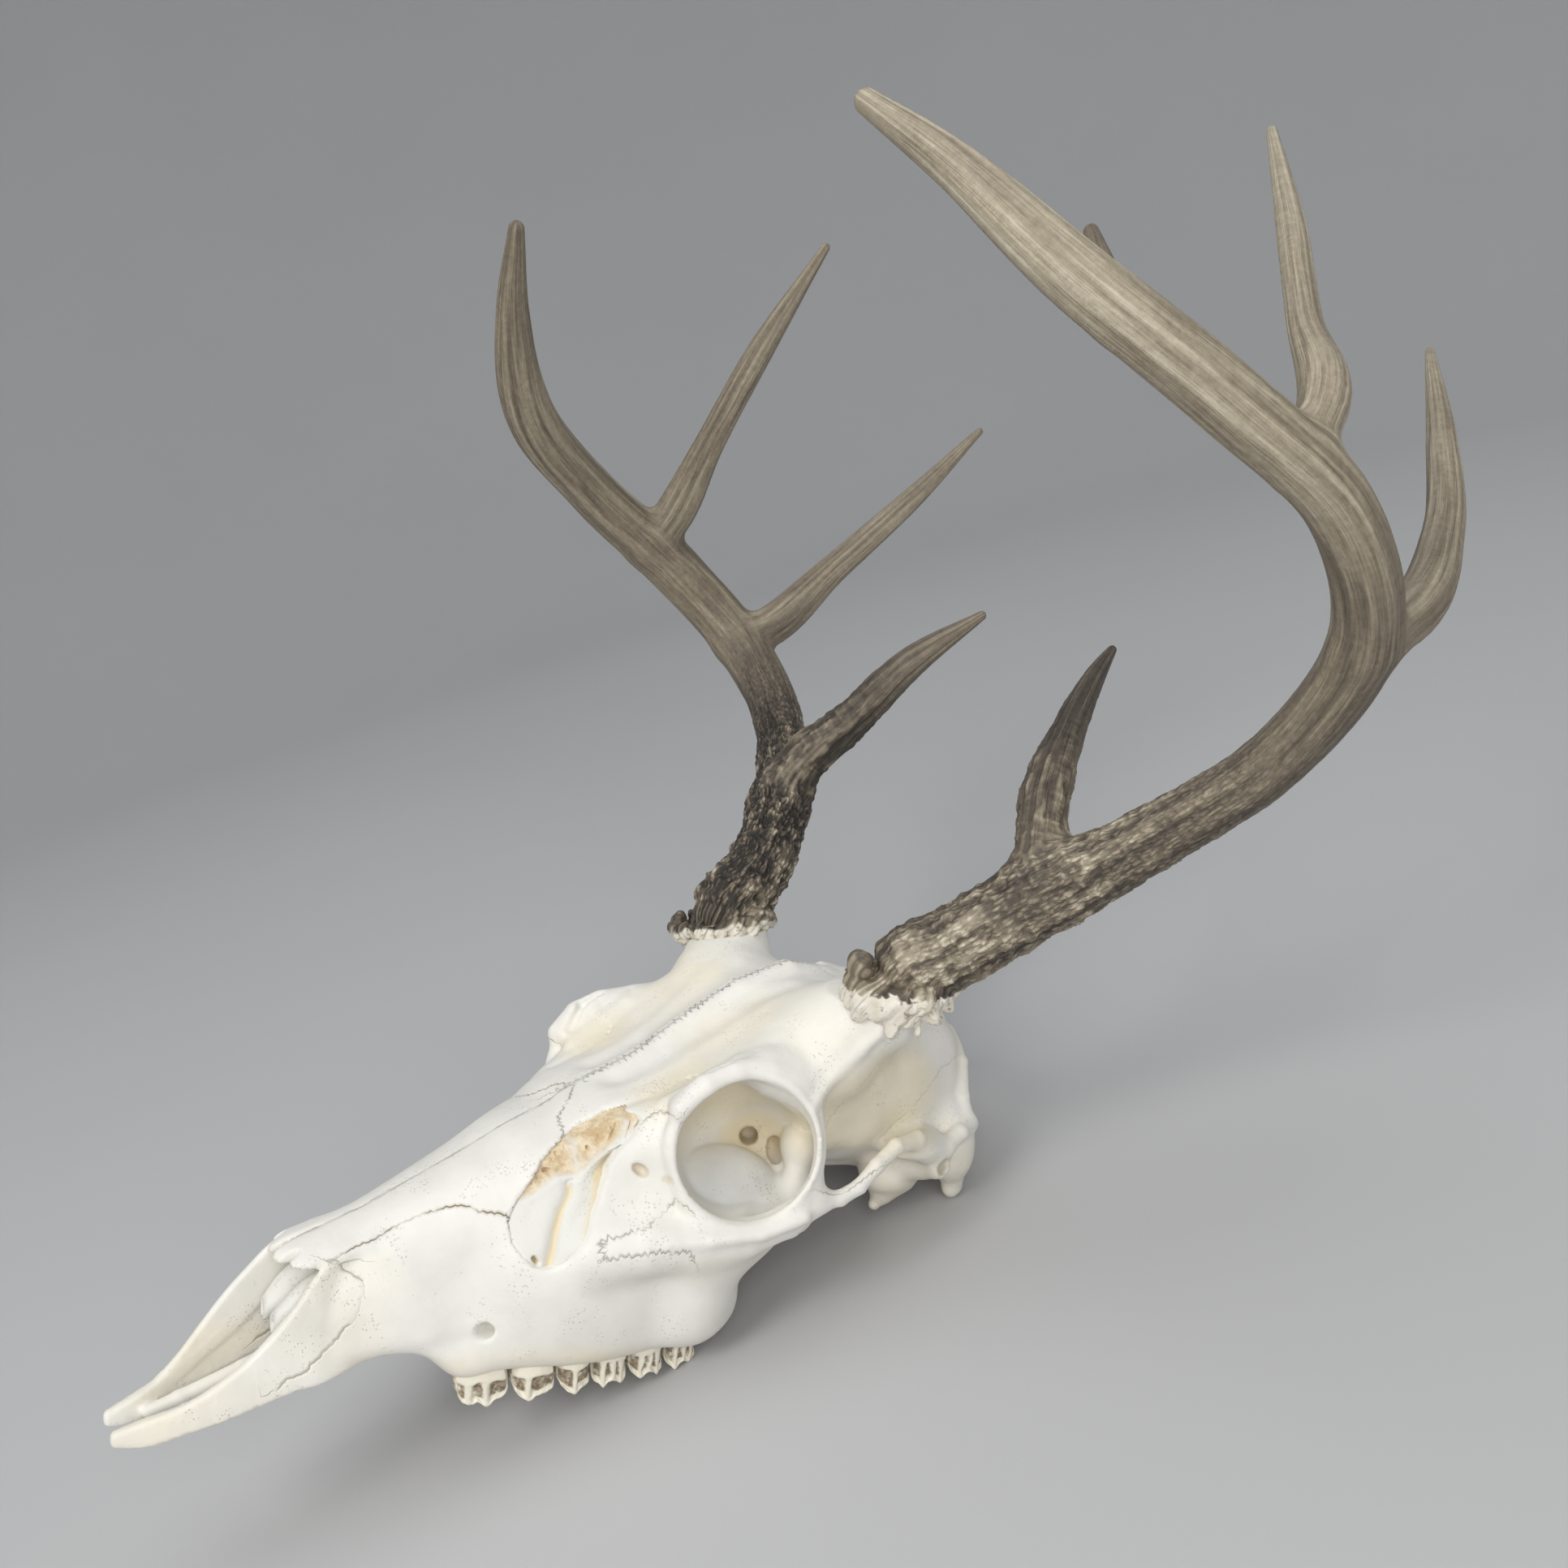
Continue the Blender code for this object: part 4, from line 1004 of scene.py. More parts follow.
# %% [markdown]
# Inside the nose a scroll of paper-thin bone hangs from each side wall. Its section is a curl,
# so it is made as a curl of vertices that is extruded back along the nose, tapers at its front,
# and gets its thickness from Solidify.

# %% Scrolls of the nose
SCROLL_STATIONS = [
    # y, x and z of the middle of the curl, its radius
    (44, 6, 30, 2.6), (49, 6.8, 33, 5), (57, 7.4, 36, 6.2), (66, 7.8, 38, 6.6),
    (76, 7.8, 39, 6.2),
]


def make_scroll(side, name):
    """Curled sheet that hangs inside one half of the nose."""
    bm = bmesh.new()
    turns = np.linspace(-0.2, 1.35, 30)
    ring = [bm.verts.new((0, 0, 0)) for _ in turns]
    edges = [bm.edges.new(pair) for pair in zip(ring, ring[1:])]
    rows = np.array(SCROLL_STATIONS, float)
    stations = np.linspace(rows[0, 0], rows[-1, 0], 26)
    for count, y in enumerate(stations):
        cx, cz, radius = (curve_value(y, rows[:, 0], rows[:, k]) for k in (1, 2, 3))
        for turn, vert in zip(turns, ring):
            angle = 2 * math.pi * turn
            r = radius * (1.0 - 0.34 * (turn + 0.2)) * (1.0 + 0.08 * math.sin(3 * angle + y * 0.3))
            vert.co = (side * (cx - r * math.cos(angle)), y + 0.12 * r * math.sin(angle),
                       cz + 1.25 * r * math.sin(angle))
        if count < len(stations) - 1:
            made = bmesh.ops.extrude_edge_only(bm, edges=edges)["geom"]
            ring = [g for g in made if isinstance(g, bmesh.types.BMVert)]
            fresh = set(ring)
            edges = [g for g in made if isinstance(g, bmesh.types.BMEdge) and fresh.issuperset(g.verts)]
    piece = mesh_object(name, bm)
    stiffen(piece, 0.7, 0.0)
    return piece


scrolls = [make_scroll(1, "nose_scroll_left"), make_scroll(-1, "nose_scroll_right")]
print("scroll vertices", len(scrolls[0].data.vertices))

# %% [markdown]
# ## The cheek teeth
# A deer has three premolars and three molars in each upper jaw. A premolar is one crescent, a
# molar two. Seen from the cheek each crescent has a strong rib down its middle and a thinner one
# at each end, with hollows between them that hold brown stain, and it ends below in a point.
# Every tooth is a subdivided block whose vertices are moved by that one rule.

# %% Measures of the teeth
TEETH = [
    # front, back, lower edge as (share of the length, rise above the points), middles of the ribs
    (93, 108.8, [(0, 7), (0.05, 3.4), (0.12, 1.8), (0.22, 0.9), (0.3, 1.2), (0.38, 2), (0.47, 0.6),
                   (0.54, 0), (0.6, 0.5), (0.7, 1.9), (0.85, 2.5), (1, 3.8)], (0.24, 0.54)),
    (109.2, 122.6, [(0, 6), (0.06, 3.2), (0.18, 1.4), (0.32, 0), (0.4, 0.3), (0.5, 1.4), (0.68, 1.9),
                    (0.85, 2.3), (1, 3.6)], (0.34,)),
    (123, 133.4, [(0, 5), (0.08, 2.8), (0.24, 1), (0.42, 0), (0.5, 0.3), (0.62, 1.3), (0.8, 1.9),
                    (1, 3.4)], (0.45,)),
]
MOLAR_EDGE = [(0, 3.4), (0.05, 1.5), (0.12, 1.4), (0.25, 0), (0.3, 0.3), (0.4, 1.7), (0.5, 2.1),
              (0.6, 1.5), (0.73, 0), (0.78, 0.3), (0.9, 1.7), (1, 3.2)]
MOLAR_RIBS = (0.26, 0.52, 0.75)
TEETH += [(front, back, MOLAR_EDGE, MOLAR_RIBS)
          for front, back in ((133.8, 145.4), (146.0, 157.6), (158.2, 169.4))]
CHEEK_SIDE = [(91, 26.6), (101, 29.4), (112, 32.2), (125, 34.6), (140, 36.2), (155, 36.6), (170, 35.4)]
TONGUE_SIDE = [(91, 17.6), (101, 18.4), (112, 19.8), (125, 21.2), (140, 22), (155, 22.2), (170, 22.8)]
CROWN_LOW = 0.5
CROWN_TOP = 11.2
ROOT_TOP = 17.0
FLOOR_SLOPE = math.tan(math.radians(REST_PITCH))
FLOOR_DROP = 54.6            # where the floor passes below the tip of the nose
print("tooth lengths:", [round(tooth[1] - tooth[0], 1) for tooth in TEETH], "mm")

# %% Shape and stain of one tooth
def round_corners(a, b):
    """Square plan from -1 to 1 with its corners rounded off."""
    reach = np.maximum(abs(a), abs(b))
    corner = np.maximum(np.hypot(a, b), 1e-6) / np.maximum(reach, 1e-6)
    blend = 0.72 * reach
    return a * (1 - blend + blend / corner), b * (1 - blend + blend / corner)


def rib_pattern(t, y, z, ribs):
    """From 1 on the ribs and at the ends of the cheek side to 0 in the hollows between them."""
    wander = 0.07 * (noise(y * 0.5, z * 0.35, 8) - 0.5)
    spread = 0.058 + 0.035 * fade(1.0, 8.0, z)
    rib = 0.8 * fade(0.05, 0.0, t) + 0.8 * fade(0.95, 1.0, t)
    for middle in ribs:
        rib = np.maximum(rib, 1.0 - fade(0.3, 1.6, np.abs(t + wander - middle) / spread))
    return rib


def shape_tooth(front, back, edge, ribs, grid):
    """Places and stain of one tooth's vertices, from a grid in the cube from -1 to 1."""
    a, b, c = grid.T
    a, b = round_corners(a, b)
    up = (c + 1.0) / 2.0
    z = CROWN_LOW + up * (ROOT_TOP - CROWN_LOW)
    t = (b + 1.0) / 2.0
    neck = fade(CROWN_TOP - 4.0, CROWN_TOP + 1.5, z)
    y = front + (0.5 + (t - 0.5) * (1.0 - 0.08 * neck)) * (back - front)
    outer = curve_value(y, *zip(*CHEEK_SIDE))
    inner = curve_value(y, *zip(*TONGUE_SIDE))
    rib = rib_pattern(t, y, z, ribs)
    hollow = np.clip(1.0 - rib, 0.0, 1.0)
    band = CROWN_TOP - 3.2 + 1.0 * (noise(y * 0.45, 0, 6) - 0.5)
    low = 1.0 - fade(band - 0.5, band + 0.6, z)
    outer = outer - 1.15 * hollow * low * fade(0.0, 0.1, up) - 0.35 * low
    outer = outer - 0.8 * fade(8.0, 0.0, z) - 0.5 * neck
    inner = inner + 1.2 * low + 1.6 * fade(9.0, 0.0, z)
    x = inner + (a + 1.0) / 2.0 * (outer - inner)
    cusp = np.interp(t, *zip(*edge))
    cusp = cusp + 0.5 * (noise(y * 0.9, x * 0.4, 0) - 0.5)
    valley = 3.0 * np.exp(-(a / 0.38) ** 2) * fade(1.0, 0.6, np.abs(b))
    tilt = 1.4 * (1.0 - a) / 2.0
    z = z + (cusp + valley + tilt) * (1.0 - up) ** 3
    z = np.maximum(z, FLOOR_SLOPE * y - FLOOR_DROP + 0.3 * noise(y * 0.7, x * 0.4, 4))
    rim = 0.05 + 0.07 * noise(y * 0.8, 0, 7)
    cheek = fade(0.2, 0.8, a) * low * fade(rim, rim + 0.09, up)
    stain = (0.12 + 0.88 * np.clip(1.2 * hollow, 0, 1)) * cheek
    stain = np.maximum(stain, 0.8 * np.exp(-((z - band) / 0.45) ** 2) * fade(0.2, 0.8, a) * (1 - rib))
    stain = np.maximum(stain, 0.9 * valley / 3.0 * (1 - up) ** 2)
    stain = np.maximum(stain, 0.8 * fade(0.9, 1.0, np.abs(b)) * fade(14.0, 11.0, z))
    x = x + 0.25 * (noise(y * 1.1, z * 1.1, 2) - 0.5) * fade(0.5, 1.0, a) * fade(14, 10, z)
    return np.column_stack([x, y, z]), stain

# %% Make the rows of teeth
def make_teeth(side, name):
    """One row of six cheek teeth."""
    bm = bmesh.new()
    bm.verts.layers.float.new("stain")
    for tooth in TEETH:
        block = bmesh.new()
        bmesh.ops.create_cube(block, size=2.0)
        bmesh.ops.subdivide_edges(block, edges=block.edges[:], cuts=31, use_grid_fill=True)
        grid = np.array([v.co[:] for v in block.verts])
        places, stain = shape_tooth(*tooth, grid)
        layer = block.verts.layers.float.new("stain")
        for vert, (x, y, z), amount in zip(block.verts, places, stain):
            vert.co = (side * x, y - FORWARD * x * 0.9, z)
            vert[layer] = amount
        if side < 0:
            bmesh.ops.reverse_faces(block, faces=block.faces[:])
        pour(block, bm)
    return mesh_object(name, bm)


teeth = [make_teeth(1, "cheek_teeth_left"), make_teeth(-1, "cheek_teeth_right")]
print("tooth row vertices", len(teeth[0].data.vertices))

# %% [markdown]
# ## The antlers
# An antler grows as one bone that forks, so beam and tines are tapering tubes melted together.
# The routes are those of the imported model. Each tube also knows how far along it a point lies
# and on which side, because the grooves, the beads and the colour all follow the beam.

# %% Routes of the beams and tines
LEFT_BEAM = [
    (55.2, 225.8, 121, 10.5), (57.2, 228.2, 124.5, 13.2), (65, 238, 132, 13.2), (80, 254, 146, 12.6),
    (110, 278, 170, 10.2), (143, 294, 197, 9.2), (171, 293, 230, 9.6), (185, 265, 263, 9),
    (180, 229, 288, 8.9), (165, 196, 314, 8.4), (140, 176, 343, 5.8), (119, 167, 360, 3.5),
]
LEFT_TINES = {
    "brow_tine": [(83, 258, 153, 6), (74, 267, 175, 8), (57, 292, 200, 5.8),
                  (45, 313, 216, 3.8), (37, 327, 224, 1.9)],
    "second_tine": [(171, 291, 227, 6), (174, 305, 236, 7.4), (161, 336, 260, 6),
                    (139, 362, 290, 4.7), (115.8, 384.6, 320.6, 1.8)],
    "third_tine": [(184.5, 250, 274, 5), (183, 259, 287, 6.6), (164, 273, 311, 4.9),
                   (142, 290, 343, 4.2), (119, 306, 375, 1.8)],
    "small_tine": [(169, 205, 305, 4), (161, 207, 316, 4.4), (154, 209, 328, 2.2)],
}
RIGHT_BEAM = [
    (-54.8, 222.8, 121, 10.5), (-56.2, 226.5, 125, 13.2), (-60.5, 238, 134, 12.6), (-74, 256, 150, 12),
    (-106, 279, 174, 10.8), (-142, 294, 197, 11), (-174, 293, 224, 11.8), (-184, 264, 257, 12),
    (-181, 227, 285, 10.8), (-165, 192, 314, 10.6), (-140, 175, 349, 6.9), (-120, 169, 375.9, 3.3),
]
RIGHT_TINES = {
    "brow_tine": [(-84, 262, 158, 8), (-79, 272, 176, 9.6), (-66, 287, 194, 8.3),
                  (-50, 304, 217, 6.4), (-34.6, 325, 235, 2.1)],
    "second_tine": [(-172, 291, 221, 8), (-168, 305, 227, 9.4), (-154, 333, 255, 6.9),
                    (-136, 362, 286, 5.2), (-118.8, 386, 316, 1.9)],
    "third_tine": [(-182.5, 254, 262, 8), (-178, 264, 277, 9), (-163, 273, 306, 6.8),
                   (-142, 288, 347, 5.7), (-119, 304, 385.4, 2.1)],
}
print("tines:", len(LEFT_TINES), "on the left,", len(RIGHT_TINES), "on the right")

# %% A shaft that knows its own grain
def path_lengths(places):
    """Length along a path up to each of its places."""
    return np.r_[0, np.cumsum(np.linalg.norm(np.diff(places, axis=0), axis=1))]


def route(stations, spacing=6.0):
    """Smooth run of stations at an even spacing through the given ones."""
    rows = np.array(stations, float)
    chord = path_lengths(rows[:, :3])
    count = max(int(chord[-1] / spacing), 2)
    along = np.linspace(0, chord[-1], count + 1)
    return np.array([curve_value(along, chord, column) for column in rows.T]).T


GRAIN_RADIUS = 10.0          # every girth is drawn out to this radius for the grain


class Shaft:
    """One beam or tine with a frame carried along it without twisting."""

    def __init__(self, stations, start=0.0):
        rows = route(stations, 4.0)
        self.points, self.radii = rows[:, :3], rows[:, 3]
        self.length = path_lengths(self.points)
        self.start = start
        heading = np.gradient(self.points, axis=0)
        self.heading = heading / np.linalg.norm(heading, axis=1)[:, None]
        side = unit(np.cross(self.heading[0], (0.3, 0.2, 0.9)))
        sides = []
        for ahead in self.heading:
            side = unit(side - (side @ ahead) * ahead)
            sides.append(side)
        self.side = np.array(sides)

    def read(self, p):
        """Distance outside the shaft, length along it, and the two round coordinates."""
        best = np.full(len(p), 1e9)
        found = np.zeros(len(p), int)
        share = np.zeros(len(p))
        for i, (a, b) in enumerate(zip(self.points, self.points[1:])):
            t, q = beside(p, a, b)
            near = (q * q).sum(axis=1)
            better = near < best
            best[better], found[better], share[better] = near[better], i, t[better]

        def mixed(rows):
            first, second = rows[found], rows[found + 1]
            weight = share if rows.ndim == 1 else share[:, None]
            return first * (1 - weight) + second * weight

        q = p - mixed(self.points)
        side, ahead = mixed(self.side), mixed(self.heading)
        across = np.cross(ahead, side)
        u, v = (q * side).sum(axis=1), (q * across).sum(axis=1)
        girth = np.maximum(np.hypot(u, v), 0.5)
        out = np.sqrt(best) - mixed(self.radii)
        scale = GRAIN_RADIUS / girth
        return out, mixed(self.length) + self.start, u * scale, v * scale


print("beam lengths:", [round(Shaft(beam).length[-1]) for beam in (LEFT_BEAM, RIGHT_BEAM)], "mm")

# %% [markdown]
# The burr is the crown of bony beads round the foot of the antler. The beads differ in size and
# height, so they are placed by a seeded draw. Under the left one a chalky white skirt hangs down
# the stalk, and under the right one a short yellowish rim.

# %% Burr beads and skirt
RIM_BEADS = 17
UPPER_BEADS = 14
LOWER_BEADS = 13


def ring_place(burr, angle, out, height):
    """Point at an angle round a burr, so far out from its axis and above its middle."""
    centre, axis, _ = burr
    axis = unit(axis)
    across = unit(np.cross(axis, (0, 1, 0)))
    along = np.cross(axis, across)
    return np.array(centre) + out * (math.cos(angle) * across + math.sin(angle) * along) + height * axis


def burr_features(burr, seed):
    """Ring and beads of one burr, each with its fillet radius."""
    centre, axis, radius = burr
    draw = np.random.default_rng(seed)
    features = [(Ring(centre, axis, radius - 0.4, 2.7), 2.5)]
    for bead in range(RIM_BEADS):
        angle = 2 * math.pi * (bead + draw.uniform(-0.45, 0.45)) / RIM_BEADS
        size = draw.uniform(1.7, 3.3)
        place = ring_place(burr, angle, radius + draw.uniform(0.4, 2.0), draw.uniform(-1.6, 2.4))
        features.append((Egg(place, (size, size, size * draw.uniform(0.8, 1.4))), 1.6))
    for bead in range(UPPER_BEADS):
        angle = 2 * math.pi * (bead + draw.uniform(-0.4, 0.4)) / UPPER_BEADS
        size = draw.uniform(1.2, 2.0)
        place = ring_place(burr, angle, radius - draw.uniform(0.5, 2.0), draw.uniform(2.2, 4.6))
        features.append((Egg(place, (size, size, size * 1.3)), 0.8))
    return features


def left_skirt():
    """Chalky lumps that hang from the left burr down the outside of its stalk."""
    tips = [(55.0, 208.6, 116.5), (59.0, 209.8, 113.0), (63.6, 213.2, 113.6), (66.6, 216.8, 108.8),
            (69.0, 220.6, 111.8), (69.6, 224.2, 108.2), (71.2, 229.0, 112.8), (71.4, 234.0, 115.2)]
    features = [(Egg((60.0, 222.0, 116.5), (11.4, 13.0, 7.4), (0, 12, 0)), 3),
                # the lump that stands out in front of the burr
                (Egg((57.5, 210.5, 129.0), (4.6, 4.0, 5.0)), 1.5),
                (Egg((55.0, 210.0, 123.5), (3.6, 3.2, 3.4)), 1.2)]
    for count, tip in enumerate(tips):
        root = np.array(LEFT_BURR[0]) + (np.array(tip) - LEFT_BURR[0]) * (0.94, 0.94, 0.0)
        size = 2.1 + 0.6 * math.sin(2.3 * count)
        middle = (root + tip) / 2 + (0.5, -0.3, 0.0)
        features.append((Stem([(*root, size + 0.4), (*middle, size - 0.2), (*tip, size)]), 1.3))
    return features


def right_rim():
    """Ragged lower rim of the right burr."""
    features = []
    for count in range(LOWER_BEADS):
        angle = 2 * math.pi * count / LOWER_BEADS
        place = ring_place(RIGHT_BURR, angle, 14.6 + 0.8 * math.sin(5 * angle), -3.4 - math.sin(3 * angle))
        features.append((Egg(place, (2.2, 2.2, 2.6)), 1.6))
    # drops that hang from its front
    for place, size in (((-44.5, 209.5, 119.6), 3.8), ((-43.0, 211.0, 114.6), 2.6),
                        ((-43.4, 210.4, 111.6), 1.7)):
        features.append((Egg(place, (size, size, size * 1.25)), 1.2))
    return features


print("lumps of the left crown:", len(burr_features(LEFT_BURR, 3) + left_skirt()))

# %% [markdown]
# The surface of an antler is the cast of the blood vessels that fed it: long winding grooves,
# and between them rows of small beads that stand out round the base and fade up the beam. Both
# are pushed in or out along the normals, by noise drawn in the shaft's own coordinates.

# %% Relief of an antler
PEARLS = 320
PEARLED_LENGTH = 130.0       # shafts that start farther up carry no pearls
FORK_BLEND = 1.6


def shaft_table(beam, tines):
    """The beam and tines as shafts, each tine numbered on from where it leaves the beam."""
    trunk = Shaft(beam)
    shafts = {"beam": trunk}
    for name, tine in tines.items():
        at = trunk.read(np.array([tine[0][:3]], float))[1][0]
        shafts[name] = Shaft(tine, start=at)
    return shafts


def read_shafts(shafts, p):
    """Each shaft's reading at some places, and how much each counts near a fork."""
    rows = {name: shaft.read(p) for name, shaft in shafts.items()}
    out = []
    for name, row in rows.items():
        leaving = (row[1] - shafts[name].start) / shafts[name].radii[1]
        out.append(row[0] + (4.0 * fade(1.6, 0.2, leaving) if name != "beam" else 0.0))
    out = np.array(out)
    weights = np.exp(-(out - out.min(axis=0)) / FORK_BLEND)
    weights /= weights.sum(axis=0)
    return dict(zip(rows, weights)), rows


def shaft_relief(s, u, v, to_tip, roughness, draw):
    """Grooves, beads and slow lumps of one shaft, in millimetres along the normal."""
    base = roughness * (1.0 - fade(50.0, 170.0, s))
    calm = fade(0.0, 45.0, to_tip)
    wide = ridges(u * 0.17, v * 0.17, s * 0.012)
    fine = ridges(u * 0.42 + 9, v * 0.42, s * 0.03)
    groove = -0.55 * fade(0.74, 0.97, wide) - 0.28 * fade(0.7, 0.95, fine)
    lumps = (0.35 + 0.55 * base) * (noise(u * 0.12, v * 0.12, s * 0.03 + 20) - 0.5)
    knots = noise(u * 0.62, v * 0.62, s * 0.22 + 30) + 0.5 * noise(u * 1.2, v * 1.2, s * 0.45)
    rings = ridges(u * 0.1, v * 0.1, s * 0.3 + 12)
    rough = base * (0.75 * fade(0.7, 1.05, knots) + 0.5 * fade(0.6, 0.95, rings) - 0.4)
    pearls = np.zeros(len(s))
    if s.min() < PEARLED_LENGTH:
        for _ in range(PEARLS):
            turn, at = draw.uniform(0, 2 * math.pi), 3.0 + 125.0 * draw.uniform() ** 1.4
            size = draw.uniform(0.8, 1.8)
            du, dv = u - GRAIN_RADIUS * math.cos(turn), v - GRAIN_RADIUS * math.sin(turn)
            near = (du * du + dv * dv + (0.55 * (s - at)) ** 2) / size ** 2
            pearls = np.maximum(pearls, draw.uniform(0.3, 0.95) * np.exp(-near ** 1.5))
        pearls = pearls * roughness * (1.0 - fade(60.0, 140.0, s))
    return (groove * (0.45 + 0.7 * base) + lumps) * calm + rough + pearls


def antler_relief(shafts, weights, rows, roughness, seed):
    """Relief of the whole antler, cross-faded from shaft to shaft at the forks."""
    total = 0.0
    for name, weight in weights.items():
        _, s, u, v = rows[name]
        to_tip = shafts[name].start + shafts[name].length[-1] - s
        draw = np.random.default_rng(seed)
        total = total + weight * shaft_relief(s, u, v, to_tip, roughness, draw)
    return total


def crumple(p, burr):
    """Folds and crevices of the crown, in millimetres, fading out above and below it."""
    x, y, z = p.T
    folds = ridges(x * 0.3, y * 0.3, z * 0.13) + 0.5 * ridges(x * 0.7, y * 0.7, z * 0.45)
    return (0.9 * folds - 0.95) * fade(9.0, 2.0, above_burr(p, burr))

# %% Grow both antlers
ANTLER_COARSE = 2.2
ANTLER_FINE = 0.82
SHRINK = 0.25                # room left for the beads that are pushed out


def grow_antler(name, beam, tines, extra, burr, roughness, seed):
    """Block out, melt and sculpt one whole antler, and note how its grain runs."""
    bm = bmesh.new()
    lay_clay(bm, [Stem(route(stations)) for stations in (beam, *tines.values())], (WHOLE,))
    lay_clay(bm, shapes(extra), (WHOLE,))
    antler = mesh_object(name, bm)
    fuse(antler, ANTLER_COARSE)
    shafts = shaft_table(beam, tines)

    def field(p):
        value = shafts["beam"].read(p)[0]
        for key in tines:
            value = soft_min(value, shafts[key].read(p)[0], 11.0 if key == "brow_tine" else 5.5)
        return add_features(value, p, extra) + SHRINK

    sculpt(antler, field, 3, relaxed=2)
    fuse(antler, ANTLER_FINE)
    sculpt(antler, field, 2, relaxed=1, reach=1.0)
    points = places_of(antler.data)
    weights, rows = read_shafts(shafts, points)
    relief = antler_relief(shafts, weights, rows, roughness, seed) + crumple(points, burr)
    set_places(antler.data, points + relief[:, None] * normals_of(antler.data))
    thin_out(antler, PIECE_TRIANGLES)
    return antler, shafts, roughness, seed


left_grown = grow_antler("antler_left", LEFT_BEAM, LEFT_TINES,
                         burr_features(LEFT_BURR, 3) + left_skirt(), LEFT_BURR, 0.75, 11)
right_grown = grow_antler("antler_right", RIGHT_BEAM, RIGHT_TINES,
                          burr_features(RIGHT_BURR, 5) + right_rim(), RIGHT_BURR, 1.15, 12)
for grown in (left_grown, right_grown):
    print(grown[0].name, "triangles", sum(len(f.vertices) - 2 for f in grown[0].data.polygons))

# %% [markdown]
# ## What the finish needs to know
# Joints between bones, stains and the brown of an antler aren't spread evenly, they follow the
# anatomy. So every vertex is told how far it lies from the nearest joint line, how warm or grey
# its bone is, and how old its antler looks. The shaders read these values and add the fine grain.

# %% Where the joints between the bones run
JOINTS = {
    # points on the left side, then how far the joint zigzags and how strongly it shows
    "forehead": ([(0, 143, 82.6), (0, 154, 86.9), (0, 167, 94), (0, 181.8, 103), (0, 197, 110.9),
                  (0, 211.4, 116.6), (0, 219, 116.9), (0, 228.9, 113)], 2, 1.2),
    "nasal_middle": ([(0, 46, 49.8), (0, 70, 57), (0, 100, 68.5), (0, 125, 77.5), (0, 143, 82.6)],
                     0.2, 0.7),
    "nasal_rear": ([(0, 143, 82.6), (3, 138.6, 84.4), (6.8, 136.4, 84.1), (9.7, 132.7, 81.8),
                    (12.3, 130, 79.9), (16.2, 128.9, 78.9), (19.4, 128.1, 77.7)], 0.7, 0.9),
    "brow": ([(36.6, 147.8, 83), (37.2, 149.8, 84.4), (38.3, 151.8, 86), (41.2, 153, 85.7),
              (45.3, 153.4, 86.8)], 0.5, 0.8),
    "tear_bone": ([(53.7, 153.9, 59), (49.1, 152.2, 61), (47.1, 148.1, 56.8), (48.9, 141.9, 54.4),
                   (47.6, 134.6, 53.6), (46.8, 128.5, 52.1)], 0.9, 0.8),
    "cheek_bone": ([(46.8, 128.5, 52.1), (48.8, 129.2, 47.2), (51.1, 134.8, 48.2),
                    (53.8, 141.4, 48.8), (56.5, 149.1, 48.3), (58.2, 153.8, 47.4),
                    (57.8, 154.6, 44.9)], 1, 0.8),
    "front_jaw": ([(15.8, 58.2, 49.5), (18.1, 61.5, 47.5), (19.5, 66.6, 42.9), (20.3, 67.1, 39.4),
                   (20.7, 64.1, 34.4), (20.7, 59.3, 28.5), (19.9, 53.9, 23.6), (19.5, 49.2, 19.9),
                   (18.5, 43.3, 17.6)], 0.2, 0.8),
    "nasal_side": ([(15.8, 58.2, 49.5), (15.4, 65.8, 52.7), (14.8, 79.2, 56.7), (16.1, 87.6, 59),
                    (18.1, 92.9, 60.2), (20.9, 97.9, 60.2), (23.9, 101.7, 58.6),
                    (25.8, 105.3, 58.5), (28.4, 108.4, 57.3)], 0.3, 1.3),
    "crown": ([(0, 228.9, 113), (14, 231.5, 111), (28, 228, 106), (40, 222, 100.5),
               (55.9, 218, 96.3), (51.2, 212.5, 89), (48.9, 209.8, 84.1), (46, 208, 72)], 1, 0.3),
    "arch": ([(65.3, 192.7, 61.5), (62.9, 202.7, 60.1), (61.3, 209.7, 61.2), (61.3, 214.2, 63)],
             0.4, 0.8),
    "temple": ([(40, 232, 66), (41.5, 244, 76), (39, 256, 84), (33, 268, 86)], 0.5, 0.25),
}

# %% How far each vertex lies from a joint
def read_joints(points, normals):
    """Signed distance to the nearest joint, length along it, its zigzag and its strength."""
    side = np.where(points[:, 0] < 0.0, -1.0, 1.0)
    p = np.column_stack([np.abs(points[:, 0]), points[:, 1:]])
    n = np.column_stack([normals[:, 0] * side, normals[:, 1:]])
    best, distance = np.full(len(p), 1e9), np.full(len(p), 50.0)
    along, zigzag, strength = np.zeros((3, len(p)))
    start = 0.0
    for line, swing, shows in JOINTS.values():
        rows = np.array(line, float)
        for a, b in zip(rows, rows[1:]):
            t, q = beside(p, a, b)
            run, length = b - a, np.linalg.norm(b - a)
            lift = (q * n).sum(axis=1)
            gap = np.linalg.norm(q - lift[:, None] * n, axis=1)
            near = gap + 0.35 * np.abs(lift)
            hand = np.sign((np.cross(run, n) * q).sum(axis=1))
            if a[0] == 0.0 and b[0] == 0.0:
                hand = side
            better = near < best
            best[better] = near[better]
            distance[better] = (hand * gap)[better]
            along[better] = (start + t * length)[better]
            zigzag[better], strength[better] = swing, shows
            start += length
        start += 40.0
    strength = strength * (1.0 - fade(5.0, 7.0, best))
    return distance, along + 300.0 * (side < 0), zigzag, strength

